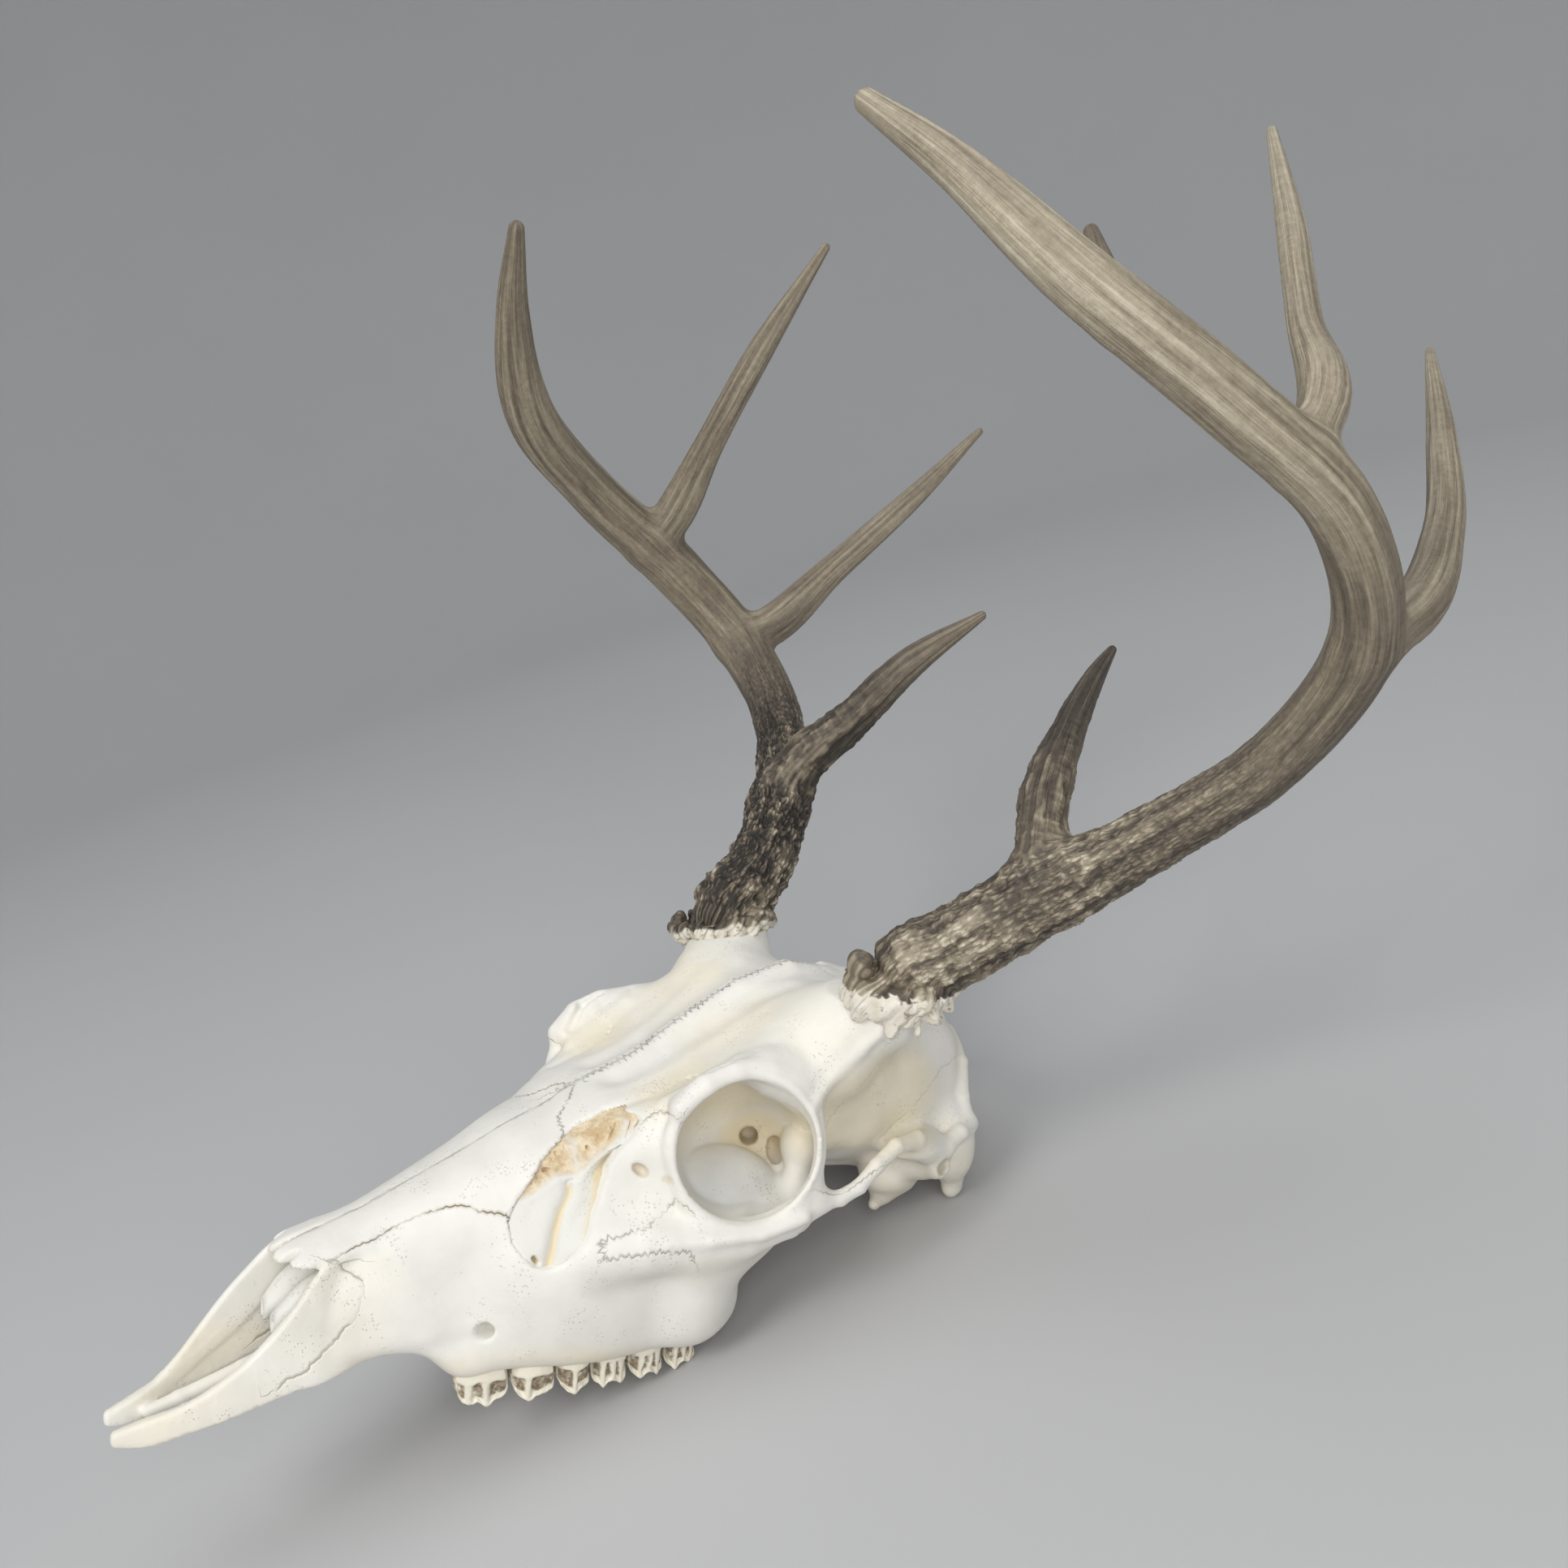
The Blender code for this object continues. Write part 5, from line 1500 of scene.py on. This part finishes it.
# %% How warm, grey or tan each part of the bone is
TINTS = {
    # soft regions in true places, and how much of the tint each has
    "warm": [
        (Egg((45, 222, 80), (22, 34, 24)), 0.75),
        (Egg((24, 178, 106), (20, 36, 16)), 0.5),
        (Egg((40, 205, 106), (20, 20, 14)), 0.4),
        (Egg((13, 22, 12), (11, 34, 16)), 0.45),
        (Egg((30, 172, 84), (20, 24, 15)), 0.7),
        (Egg((22, 194, 68), (14, 14, 9)), 0.9),
        (Egg((38, 205, 66), (9, 8, 11)), 0.6),
        (Egg((18, 62, 34), (7, 24, 20)), 0.35),
        (Egg((34, 100, 14), (12, 60, 7)), 0.5),
        (Egg((60, 160, 40), (20, 36, 8)), 0.3),
        (Egg((30, 250, 50), (26, 26, 22)), 0.5),
        (Egg((0, 275, 70), (44, 16, 40)), 0.45),
    ],
    "grey": [
        (Egg((30, 177, 50), (17, 25, 18), (-12, 0, 0)), 0.8),
        (Egg((40, 118, 50), (16, 20, 14)), 0.25),
    ],
    "tan": [
        (Egg((28, 180, 86), (18, 22, 14)), 0.22),
        (Egg((26, 197, 66), (11, 14, 9)), 0.4),
        (Egg((0, 58, 32), (11, 44, 22)), 0.3),
        (Egg((10, 200, 36), (26, 40, 12)), 0.35),
        (Egg((0, 282, 60), (12, 18, 12)), 0.6),
    ],
}


def read_tints(points):
    """Warm, grey and tan weights of the bone at each place, with tan painted as shade in openings."""
    p = np.column_stack([np.abs(points[:, 0]), points[:, 1:]])
    weights = {tint: np.zeros(len(p)) for tint in TINTS}
    for tint, regions in TINTS.items():
        for region, amount in regions:
            soft = min(9.0, 0.6 * region.half.min())
            inside = amount * fade(soft, -soft, region.field(p))
            weights[tint] = np.maximum(weights[tint], inside)
    # painted shade: tan inside the openings at the back of the socket and the tear openings
    for feature, edge in sunk_details():
        if 0.3 < edge < 0.5:
            weights["tan"] = np.maximum(weights["tan"], 0.5 * fade(0.5, -0.1, feature.field(p)))
    return np.column_stack(list(weights.values()))

# %% Write values onto the vertices
def note(mesh, name, values):
    """Store one number, or a row of three, on every vertex."""
    values = np.asarray(values, np.float32)
    kind = "FLOAT_VECTOR" if values.ndim == 2 else "FLOAT"
    layer = mesh.attributes.new(name, kind, "POINT")
    layer.data.foreach_set("vector" if values.ndim == 2 else "value", values.ravel())


bone = cranium.data
*joint, strength = read_joints(places_of(bone), normals_of(bone))
note(bone, "joint", np.column_stack(joint))
note(bone, "joint_strength", strength)
note(bone, "tints", read_tints(places_of(bone)))
for sheet, drop in zip(sheets, (0.0, FAR_DROP)):
    places = places_of(sheet.data)
    depth, tan, _ = sheet_depth(places[:, 1], places[:, 2] + drop)
    # how tan the sheet is, then how deep it lies, for its painted brown and yellow shade
    note(sheet.data, "depth", np.column_stack([tan, fade(2.4, 5.2, depth), fade(0.8, 3.0, depth)]))
print("tints:", list(TINTS))

# %% How pale each part of the antlers is
LEFT_TONES = {
    # length along the shaft and tone there, from 0 for nearly black to 1 for pale
    "beam": [(0, 0.52), (30, 0.52), (80, 0.54), (120, 0.52), (170, 0.56), (230, 0.68),
             (290, 0.78), (350, 0.8), (420, 0.8), (520, 0.9)],
    "brow_tine": [(0, 0.48), (60, 0.34), (95, 0.34), (125, 0.52), (150, 0.85)],
    "second_tine": [(0, 0.7), (60, 0.74), (120, 0.8), (170, 0.92)],
    "third_tine": [(0, 0.76), (60, 0.8), (120, 0.86), (170, 0.92)],
    "small_tine": [(0, 0.7), (30, 0.55)],
}
RIGHT_TONES = {
    "beam": [(0, 0.38), (20, 0.3), (70, 0.32), (110, 0.36), (160, 0.52), (220, 0.68),
             (300, 0.7), (360, 0.68), (430, 0.6), (480, 0.5), (530, 0.42)],
    "brow_tine": [(0, 0.32), (50, 0.34), (90, 0.54), (130, 0.7), (170, 0.88)],
    "second_tine": [(0, 0.62), (60, 0.68), (120, 0.7), (170, 0.78)],
    "third_tine": [(0, 0.64), (60, 0.66), (120, 0.66), (170, 0.74)],
}

# %% Write the grain, tone and chalk of the antlers
TINE_GRAIN_SHIFT = 700.0     # keeps the grain of the tines from repeating the beam's


def finish_antler(grown, tones, chalk_rule):
    """Give an antler its grain coordinates, its tone and its chalky underside."""
    antler, shafts, roughness, seed = grown
    mesh = antler.data
    points = places_of(mesh)
    weights, rows = read_shafts(shafts, points)
    relief = antler_relief(shafts, weights, rows, roughness, seed)
    tines = [name for name in shafts if name != "beam"]
    nearest = np.argmax([weights[name] for name in tines], axis=0)
    # the two round coordinates of every shaft, then the length along it
    grains = {name: np.column_stack([u, v, s]) for name, (_, s, u, v) in rows.items()}
    tine_grain = np.choose(nearest[:, None], [grains[name] for name in tines])
    note(mesh, "grain_beam", grains["beam"])
    note(mesh, "grain_tine", tine_grain + (0.0, 0.0, TINE_GRAIN_SHIFT))
    note(mesh, "fork", 1.0 - weights["beam"])
    tone = np.zeros(len(points))
    for name, weight in weights.items():
        along = rows[name][1] - (shafts[name].start if name != "beam" else 0.0)
        tone += weight * np.interp(along, *zip(*tones[name]))
    note(mesh, "age", np.column_stack([tone, chalk_rule(points), fade(-0.5, 0.9, relief)]))
    note(mesh, "warty", roughness * weights["beam"] * (1.0 - fade(60.0, 190.0, rows["beam"][1])))


def left_chalk(p):
    """White below a slanting line round the left burr, on its outer side."""
    x, y, z = p.T
    wobble = 3.0 * (noise(x * 0.25, y * 0.25, z * 0.1) - 0.5)
    wobble = wobble + 2.0 * (noise(x * 0.8, y * 0.8, z * 0.8) - 0.5)
    return fade(3.4, 2.2, above_burr(p, LEFT_BURR) + wobble)


def right_chalk(p):
    """Yellowish rim below the right burr."""
    wobble = 4.0 * (noise(*(p.T * 0.3)) - 0.5)
    return 0.8 * fade(1.5, -1.0, above_burr(p, RIGHT_BURR) + wobble)


finish_antler(left_grown, LEFT_TONES, left_chalk)
finish_antler(right_grown, RIGHT_TONES, right_chalk)

# %% [markdown]
# ## Finishes
# Object coordinates run in metres after the pieces are laid down, so a pattern of 1 mm has a scale
# near 1000. Two effects are built once as node groups, so that a finish can place each like one
# node: the fine pits and flecks of dry bone, and the zigzag line of a joint.

# %% Short ways to wire shader nodes
class Wires:
    """The node tree of one finish or group, with short ways to add nodes to it."""

    def __init__(self, tree):
        self.tree = tree

    def fill(self, socket, value):
        """Join a socket to another one, or set its own value."""
        if isinstance(value, bpy.types.NodeSocket):
            self.tree.links.new(value, socket)
        else:
            socket.default_value = value

    def add(self, kind, inputs=None, **settings):
        """Add a node, set it up, and join or fill its inputs."""
        node = self.tree.nodes.new("ShaderNode" + kind)
        for name, value in settings.items():
            setattr(node, name, value)
        for key, value in (inputs or {}).items():
            self.fill(node.inputs[key], value)
        return node

    def math(self, operation, *values):
        """Result of one Math node."""
        return self.add("Math", dict(enumerate(values)), operation=operation).outputs[0]

    def times(self, first, second):
        return self.math("MULTIPLY", first, second)

    def plus(self, first, second):
        return self.math("ADD", first, second)

    def scaled(self, value, factor, offset):
        """A value times a factor, plus an offset."""
        return self.math("MULTIPLY_ADD", value, factor, offset)

    def mix(self, amount, first, second, mode="MIX"):
        """Two colours blended by an amount."""
        inputs = {0: amount}
        for key, colour in ((6, first), (7, second)):
            inputs[key] = (*colour, 1.0) if isinstance(colour, tuple) else colour
        return self.add("Mix", inputs, data_type="RGBA", blend_type=mode).outputs[2]

    def remap(self, value, low, high, to_low=0.0, to_high=1.0):
        """A range of values smoothly stretched onto another."""
        inputs = {"Value": value, "From Min": low, "From Max": high, "To Min": to_low, "To Max": to_high}
        return self.add("MapRange", inputs, interpolation_type="SMOOTHSTEP").outputs[0]

    def noise(self, where, scale, detail=3.0, rough=0.55):
        """Grey value of a noise at a scale."""
        inputs = {"Vector": where, "Scale": scale, "Detail": detail, "Roughness": rough}
        return self.add("TexNoise", inputs).outputs["Fac"]

    def wander(self, along, **inputs):
        """Grey value of a noise along a line."""
        inputs = {"W": along, "Scale": 1.0, **inputs}
        return self.add("TexNoise", inputs, noise_dimensions="1D").outputs["Fac"]

    def read(self, name, output="Vector"):
        """A value stored on the vertices."""
        return self.add("Attribute", attribute_name=name).outputs[output]

    def parts(self, vector):
        """The three numbers of a vector."""
        return self.add("SeparateXYZ", {0: vector}).outputs

    def group(self, group, **inputs):
        """Place a node group and fill its inputs."""
        node = self.tree.nodes.new("ShaderNodeGroup")
        node.node_tree = group
        for key, value in inputs.items():
            self.fill(node.inputs[key], value)
        return node.outputs

# %% A new node group and a new finish
def new_group(name, inputs, outputs):
    """Shader node group with named inputs and outputs: its wires, inputs and output node."""
    group = bpy.data.node_groups.new(name, "ShaderNodeTree")
    for label, kind, value in inputs:
        socket = group.interface.new_socket(name=label, in_out="INPUT", socket_type="NodeSocket" + kind)
        if value is not None:
            socket.default_value = value
    for label in outputs:
        group.interface.new_socket(name=label, in_out="OUTPUT", socket_type="NodeSocketFloat")
    start, end = group.nodes.new("NodeGroupInput"), group.nodes.new("NodeGroupOutput")
    return Wires(group), start.outputs, end.inputs


class Finish(Wires):
    """A new material: its wires, its shader and the Object coordinates of the piece."""

    def __init__(self, name, colour):
        self.material = bpy.data.materials.new(name)
        self.material.use_nodes = True
        self.material.diffuse_color = (*colour, 1.0)
        super().__init__(self.material.node_tree)
        self.shader = self.tree.nodes["Principled BSDF"]
        self.where = self.add("TexCoord").outputs["Object"]

    def coat(self, colour, roughness):
        """Feed the shader's colour and roughness."""
        self.fill(self.shader.inputs["Base Color"], colour)
        self.fill(self.shader.inputs["Roughness"], roughness)

    def emboss(self, height, strength, depth):
        """Let a height bend the surface normals."""
        bump = self.add("Bump", {"Height": height, "Strength": strength, "Distance": depth})
        self.fill(self.shader.inputs["Normal"], bump.outputs[0])

# %% Fine pits and flecks of dry bone
def bone_grain_group():
    """Pores, hairline scratches and soft mottling, as a height and a shade."""
    wires, start, end = new_group(
        "bone grain", [("Where", "Vector", None), ("Pores", "Float", 1.0), ("Mottle", "Float", 1.0)],
        ("Height", "Shade"))
    where = start["Where"]
    pores = wires.add("TexVoronoi", {"Vector": where, "Scale": 900.0, "Randomness": 1.0})
    small = wires.remap(pores.outputs["Distance"], 0.1, 0.3, 1.0, 0.0)
    patches = wires.remap(wires.noise(where, 90.0), 0.5, 0.66)
    pits = wires.times(wires.times(small, patches), start["Pores"])
    fine = wires.noise(where, 520.0, 4.0, 0.6)
    broad = wires.noise(where, 60.0)
    height = wires.scaled(fine, 0.35, wires.times(pits, -1.0))
    wires.fill(end["Height"], wires.scaled(broad, 0.6, height))
    mottle = wires.times(wires.math("SUBTRACT", broad, 0.5), start["Mottle"])
    wires.fill(end["Shade"], wires.scaled(pits, -0.5, mottle))
    return wires.tree

# %% Zigzag joints
def joint_line_group():
    """Zigzag line of a joint between two bones, from its distance and the length along it."""
    wires, start, end = new_group(
        "joint line", [("Joint", "Vector", None), ("Strength", "Float", 1.0), ("Width", "Float", 0.3)],
        ("Line", "Groove"))
    distance, along, swing = wires.parts(start["Joint"])
    saw = wires.math("PINGPONG", wires.times(along, 0.44), 0.5)
    saw = wires.scaled(saw, 4.0, -1.0)
    quick = wires.wander(wires.times(along, 0.9), Detail=3.0, Roughness=0.6)
    slow = wires.wander(wires.times(along, 0.16), Detail=1.0)
    zig = wires.times(wires.scaled(saw, 0.55, wires.scaled(quick, 2.4, -1.2)), swing)
    zig = wires.plus(zig, wires.scaled(slow, 2.0, -1.0))
    off = wires.math("ABSOLUTE", wires.math("SUBTRACT", distance, zig))
    width = start["Width"]
    line = wires.remap(off, wires.times(width, 0.4), width, 1.0, 0.0)
    groove = wires.remap(off, 0.0, wires.times(width, 2.6), 1.0, 0.0)
    wires.fill(end["Line"], wires.times(line, start["Strength"]))
    wires.fill(end["Groove"], wires.times(groove, start["Strength"]))
    return wires.tree


BONE_GRAIN = bone_grain_group()
JOINT_LINE = joint_line_group()
print("node groups:", BONE_GRAIN.name, "and", JOINT_LINE.name)

# %% [markdown]
# Bleached bone is nearly white, but never flat: it is ivory where grease stayed in it, bluish
# grey where it is thin enough to let light through, and tan deep inside the nose and the sockets.

# %% Bleached bone
IVORY = (0.83, 0.81, 0.755)
CREAM = (0.83, 0.755, 0.575)
THIN_GREY = (0.62, 0.63, 0.63)
NOSE_TAN = (0.64, 0.49, 0.29)
JOINT_BROWN = (0.27, 0.2, 0.12)
JOINT_WIDTH = 0.36           # millimetres


def bleached_bone():
    """Finish of the cranium."""
    bone = Finish("bleached_bone", IVORY)
    grain = bone.group(BONE_GRAIN, Where=bone.where, Pores=1.0, Mottle=1.0)
    clouds = bone.noise(bone.where, 34.0, 4.0)
    spread = bone.scaled(clouds, 1.4, -0.7)
    colour = IVORY
    for weight, tint, stray, start in zip(bone.parts(bone.read("tints")), (CREAM, THIN_GREY, NOSE_TAN),
                                          (0.5, 0.3, 0.25), (0.05, 0.15, 0.1)):
        amount = bone.remap(bone.plus(weight, bone.times(spread, stray)), start, 1.0)
        colour = bone.mix(amount, colour, tint)
    shade = bone.scaled(grain["Shade"], 0.28, 1.0)
    grey = bone.add("CombineColor", {0: shade, 1: shade, 2: shade}).outputs[0]
    colour = bone.mix(1.0, colour, grey, "MULTIPLY")
    patchy = bone.remap(bone.noise(bone.where, 160.0, 2.0), 0.36, 0.56, 0.25, 1.0)
    strength = bone.times(bone.read("joint_strength", "Fac"), patchy)
    line = bone.group(JOINT_LINE, Joint=bone.read("joint"), Strength=strength, Width=JOINT_WIDTH)
    colour = bone.mix(bone.times(line["Line"], 0.8), colour, JOINT_BROWN)
    bone.coat(colour, bone.scaled(clouds, 0.25, 0.42))
    bone.emboss(bone.scaled(line["Groove"], -1.6, grain["Height"]), 0.55, 0.0005)
    bone.shader.inputs["Specular IOR Level"].default_value = 0.35
    return bone.material

# %% [markdown]
# The folded sheets are bone as thin as paper. Near the roof they are crumbly and tan, lower down
# they are smooth and pale. A yellow painted shade gathers in their folds, and a brown painted shade
# in the deepest slots and holes. The depth that was stored on the vertices tells the shader where.

# %% Thin sheets of the nose
def nose_sheet_bone():
    """Finish of the folded sheets and scrolls."""
    sheet = Finish("nose_sheet_bone", NOSE_TAN)
    tan, deep, shaded = sheet.parts(sheet.read("depth"))
    grain = sheet.group(BONE_GRAIN, Where=sheet.where, Pores=1.0, Mottle=1.5)
    clouds = sheet.noise(sheet.where, 260.0, 5.0, 0.65)
    smooth = sheet.mix(sheet.noise(sheet.where, 70.0), (0.74, 0.74, 0.71), (0.8, 0.78, 0.71))
    # painted shade: the sheet turns yellow where it lies deeper below the wall, in its folds
    yellow_fold_shade = sheet.remap(sheet.times(shaded, sheet.plus(clouds, 0.45)), 0.1, 1.0)
    smooth = sheet.mix(yellow_fold_shade, smooth, (0.77, 0.66, 0.44))
    crumbly = sheet.mix(sheet.remap(clouds, 0.35, 0.65), (0.6, 0.44, 0.25), (0.8, 0.68, 0.48))
    colour = sheet.mix(tan, smooth, crumbly)
    # painted shade: brown where the sheet lies deepest, in the slots and holes, strongest on the tan sheet
    dark = sheet.times(deep, sheet.scaled(tan, 0.6, 0.35))
    colour = sheet.mix(dark, colour, (0.34, 0.2, 0.08))
    sheet.coat(colour, sheet.scaled(clouds, 0.2, 0.5))
    height = sheet.times(clouds, sheet.scaled(tan, 2.6, 0.3))
    sheet.emboss(sheet.plus(height, grain["Height"]), 0.55, 0.0006)
    return sheet.material

# %% [markdown]
# Enamel is harder and glossier than bone. It is ivory at the neck and white at the points, and
# the brown that years of leaves left on it stays in the hollows, broken up into patches.

# %% Enamel
def tooth_enamel():
    """Finish of the teeth: ivory neck, white points, brown stain in the hollows."""
    tooth = Finish("tooth_enamel", (0.78, 0.72, 0.58))
    grain = tooth.group(BONE_GRAIN, Where=tooth.where, Pores=0.2, Mottle=1.0)
    patch = tooth.noise(tooth.where, 420.0, 5.0, 0.65)
    stain = tooth.times(tooth.read("stain", "Fac"), tooth.scaled(patch, 3.2, -0.75))
    amount = tooth.remap(stain, 0.12, 0.85, 0.0, 0.9)
    colour = tooth.mix(tooth.noise(tooth.where, 120.0), (0.8, 0.74, 0.57), (0.88, 0.85, 0.76))
    fleck = tooth.remap(tooth.noise(tooth.where, 900.0), 0.4, 0.62)
    colour = tooth.mix(amount, colour, tooth.mix(fleck, (0.11, 0.075, 0.045), (0.34, 0.25, 0.15)))
    tooth.coat(colour, tooth.scaled(amount, 0.3, 0.28))
    tooth.emboss(tooth.scaled(patch, 0.6, grain["Height"]), 0.3, 0.0003)
    return tooth.material

# %% [markdown]
# Antler is brown where it was rubbed against bark and pale where it wore smooth. Long light
# streaks follow the grooves, dark stain fills the pits between the beads, and the tops of the
# beads are rubbed light. The colour ramp runs from nearly black to the pale of the tips.

# %% Weathered antler
ANTLER_RAMP = [
    # evenly spaced, from nearly black to the pale of the tips
    (0.02, 0.016, 0.012), (0.054, 0.043, 0.032), (0.125, 0.101, 0.073),
    (0.245, 0.203, 0.144), (0.42, 0.362, 0.266), (0.66, 0.6, 0.47),
]


def along_the_grain(antler, stretch, scale, rough):
    """Noise drawn out along the shafts, cross-faded from the beam to its tines."""
    kinds = []
    for name in ("grain_beam", "grain_tine"):
        drawn = antler.add("Mapping", {"Vector": antler.read(name), "Scale": stretch}).outputs[0]
        kinds.append(antler.noise(drawn, scale, 4.0, rough))
    return antler.scaled(antler.math("SUBTRACT", kinds[1], kinds[0]), antler.read("fork", "Fac"), kinds[0])


def wart_height(antler, warty):
    """Rounded warts between winding dark lines, as strong as the foot of the beam is rough."""
    beam = antler.read("grain_beam")
    drawn = antler.add("Mapping", {"Vector": beam, "Scale": (0.85, 0.85, 0.34)}).outputs[0]
    bend = antler.add("TexNoise", {"Vector": drawn, "Scale": 1.2, "Detail": 2.0}).outputs["Color"]
    bent = antler.add("VectorMath", {0: drawn, 1: bend}, operation="ADD").outputs[0]
    cells = antler.add("TexVoronoi", {"Vector": bent, "Scale": 1.0}).outputs["Distance"]
    return antler.times(antler.remap(cells, 0.15, 0.75, 1.0, 0.0), warty)


def weathered_antler():
    """Finish of both antlers."""
    antler = Finish("weathered_antler", (0.33, 0.24, 0.16))
    tone, chalk, raised = antler.parts(antler.read("age"))
    streak = along_the_grain(antler, (0.34, 0.34, 0.016), 1.0, 0.55)
    thread = along_the_grain(antler, (1.0, 1.0, 0.045), 1.5, 0.62)
    mottle = antler.noise(antler.where, 420.0, 6.0, 0.7)
    warty = antler.read("warty", "Fac")
    wart = wart_height(antler, warty)
    value = tone
    for effect, middle, amount in ((streak, 0.5, 0.8), (thread, 0.5, 0.5), (mottle, 0.5, 0.35),
                                   (raised, 0.35, 0.4)):
        value = antler.scaled(antler.math("SUBTRACT", effect, middle), amount, value)
    value = antler.scaled(antler.scaled(warty, -0.5, wart), 0.42, value)
    ramp = antler.add("ValToRGB", {"Fac": value})
    points = ramp.color_ramp.elements
    for step in range(1, len(ANTLER_RAMP) - 1):
        points.new(step / (len(ANTLER_RAMP) - 1))
    for point, colour in zip(points, ANTLER_RAMP):
        point.color = (*colour, 1.0)
    chalky = antler.mix(antler.noise(antler.where, 300.0, 4.0), (0.68, 0.61, 0.47), (0.9, 0.88, 0.82))
    specks = antler.remap(antler.noise(antler.where, 420.0, 4.0), 0.6, 0.68, 0.0, 0.75)
    chalky = antler.mix(specks, chalky, (0.3, 0.22, 0.13))
    colour = antler.mix(antler.remap(chalk, 0.15, 0.8), ramp.outputs[0], chalky)
    antler.coat(colour, antler.scaled(thread, 0.35, 0.36))
    height = antler.scaled(thread, 1.0, antler.times(streak, 1.2))
    height = antler.scaled(mottle, 0.6, height)
    antler.emboss(antler.scaled(wart, 1.3, height), 0.75, 0.0007)
    return antler.material

# %% [markdown]
# The pieces were drawn in millimetres in the skull's own frame. Each is now laid down with the
# skull, gets its finish, and takes the place of the plain solids it was made for. All of them
# ride on the one body of the frame, because a skull without its jaw has nothing that moves.

# %% Dress every piece and seat it in the frame
PAIRED_BONES = ("antler_seat", "cheek_arch", "eye_socket", "jaw", "nasal", "premaxilla")
SKULL_NODES = sorted(["braincase", "forehead", "occiput"]
                     + [name + side for name in PAIRED_BONES for side in ("_left", "_right")])
ANTLER_NODES = ["antler_base", "brow_tine", "lower_beam", "middle_beam", "second_tine",
                "third_tine", "upper_beam"]
BOX_MARGIN = 0.00005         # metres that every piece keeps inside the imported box


def seat(piece, material, nodes=()):
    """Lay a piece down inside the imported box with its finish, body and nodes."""
    piece.data.transform(REST)
    low, high = (np.array(corner) for corner in cad_box)
    set_places(piece.data, np.clip(places_of(piece.data), low + BOX_MARGIN, high - BOX_MARGIN))
    piece.data.shade_smooth()
    piece.data.materials.clear()
    piece.data.materials.append(material)
    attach(piece, "root")
    if nodes:
        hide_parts(*nodes)


seat(cranium, bleached_bone(), SKULL_NODES)
SHEET_FINISH, TOOTH_FINISH, ANTLER_FINISH = nose_sheet_bone(), tooth_enamel(), weathered_antler()
for piece in sheets + scrolls:
    seat(piece, SHEET_FINISH)
for piece in teeth:
    seat(piece, TOOTH_FINISH)
for grown, side in ((left_grown, "left_"), (right_grown, "right_")):
    seat(grown[0], ANTLER_FINISH, [side + node for node in ANTLER_NODES])
print("pieces seated:", 1 + len(sheets) + len(scrolls) + len(teeth) + 2)

# %% [markdown]
# ## The studio
# The skull lies on a pale floor that curves up into the walls all round, so no edge or horizon
# shows from any side. The profile of floor, curve and wall is spun round the middle. A big soft
# light stands high at the camera's left, a weaker one fills from the right, and a wide one above
# keeps the shadows soft.

# %% Floor and walls
WALL_RADIUS = 2.6
CURVE_RADIUS = 1.2
WALL_HEIGHT = 3.0


def make_studio():
    """Bowl-shaped backdrop: flat floor, wide curve, upright wall."""
    bm = bmesh.new()
    flat = WALL_RADIUS - CURVE_RADIUS
    profile = [(0.0, 0.0), (flat, 0.0)]
    for step in range(1, 17):
        turn = math.pi / 2 * step / 16
        profile.append((flat + CURVE_RADIUS * math.sin(turn), CURVE_RADIUS * (1 - math.cos(turn))))
    profile.append((WALL_RADIUS, WALL_HEIGHT))
    corners = [bm.verts.new((x, 0, z)) for x, z in profile]
    edges = [bm.edges.new(pair) for pair in zip(corners, corners[1:])]
    bmesh.ops.spin(bm, geom=corners + edges, cent=(0, 0, 0), axis=(0, 0, 1), angle=2 * math.pi,
                   steps=96, use_merge=True)
    bmesh.ops.remove_doubles(bm, verts=bm.verts[:], dist=1e-5)
    floor = mesh_object("studio_floor", bm)
    if floor.data.polygons[0].normal.z < 0:
        floor.data.flip_normals()
    floor.data.shade_smooth()
    paper = Finish("studio_paper", (0.6, 0.6, 0.6))
    fleck = paper.noise(paper.where, 3.0, 2.0)
    paper.coat(paper.mix(fleck, (0.5, 0.5, 0.505), (0.53, 0.53, 0.535)), 0.9)
    paper.shader.inputs["Specular IOR Level"].default_value = 0.1
    floor.data.materials.append(paper.material)
    return floor


make_studio()

# %% Lights
def soft_light(name, place, aim, size, power, colour=(1, 1, 1)):
    """Square area light that looks at a point."""
    data = bpy.data.lights.new(name, "AREA")
    data.size = size
    data.energy = power
    data.color = colour
    light = new_object(name, data)
    light.location = place
    light.rotation_euler = (Vector(place) - Vector(aim)).to_track_quat("Z", "Y").to_euler()
    return light


def camera_side(right, up, back):
    """Place given by metres to the camera's right, up, and back towards it from the skull."""
    view = camera.matrix_world.to_3x3()
    flat = Vector((view.col[2].x, view.col[2].y, 0)).normalized()
    across = Vector((0, 0, 1)).cross(flat)
    return right * across + Vector((0, 0, up)) + back * flat


MIDDLE = (0.0, 0.0, 0.12)
soft_light("key", camera_side(-0.9, 1.4, 1.2), MIDDLE, 0.8, 15.5, (1.0, 0.98, 0.95))
soft_light("fill", camera_side(0.3, 0.85, 1.6), MIDDLE, 0.9, 12.0, (1.0, 0.99, 0.97))
soft_light("top", (0, 0.2, 2.0), MIDDLE, 1.8, 9.5)
world = bpy.data.worlds.new("studio_air")
world.use_nodes = True
air = world.node_tree.nodes["Background"].inputs
air["Color"].default_value = (0.9, 0.95, 1.0, 1.0)
air["Strength"].default_value = 0.5
bpy.context.scene.world = world
bpy.context.scene.view_settings.view_transform = "Standard"
print("lights:", [light.name for light in bpy.data.lights])

# %% Note the imported box
print("CAD box", [[round(v, 4) for v in corner] for corner in cad_box])
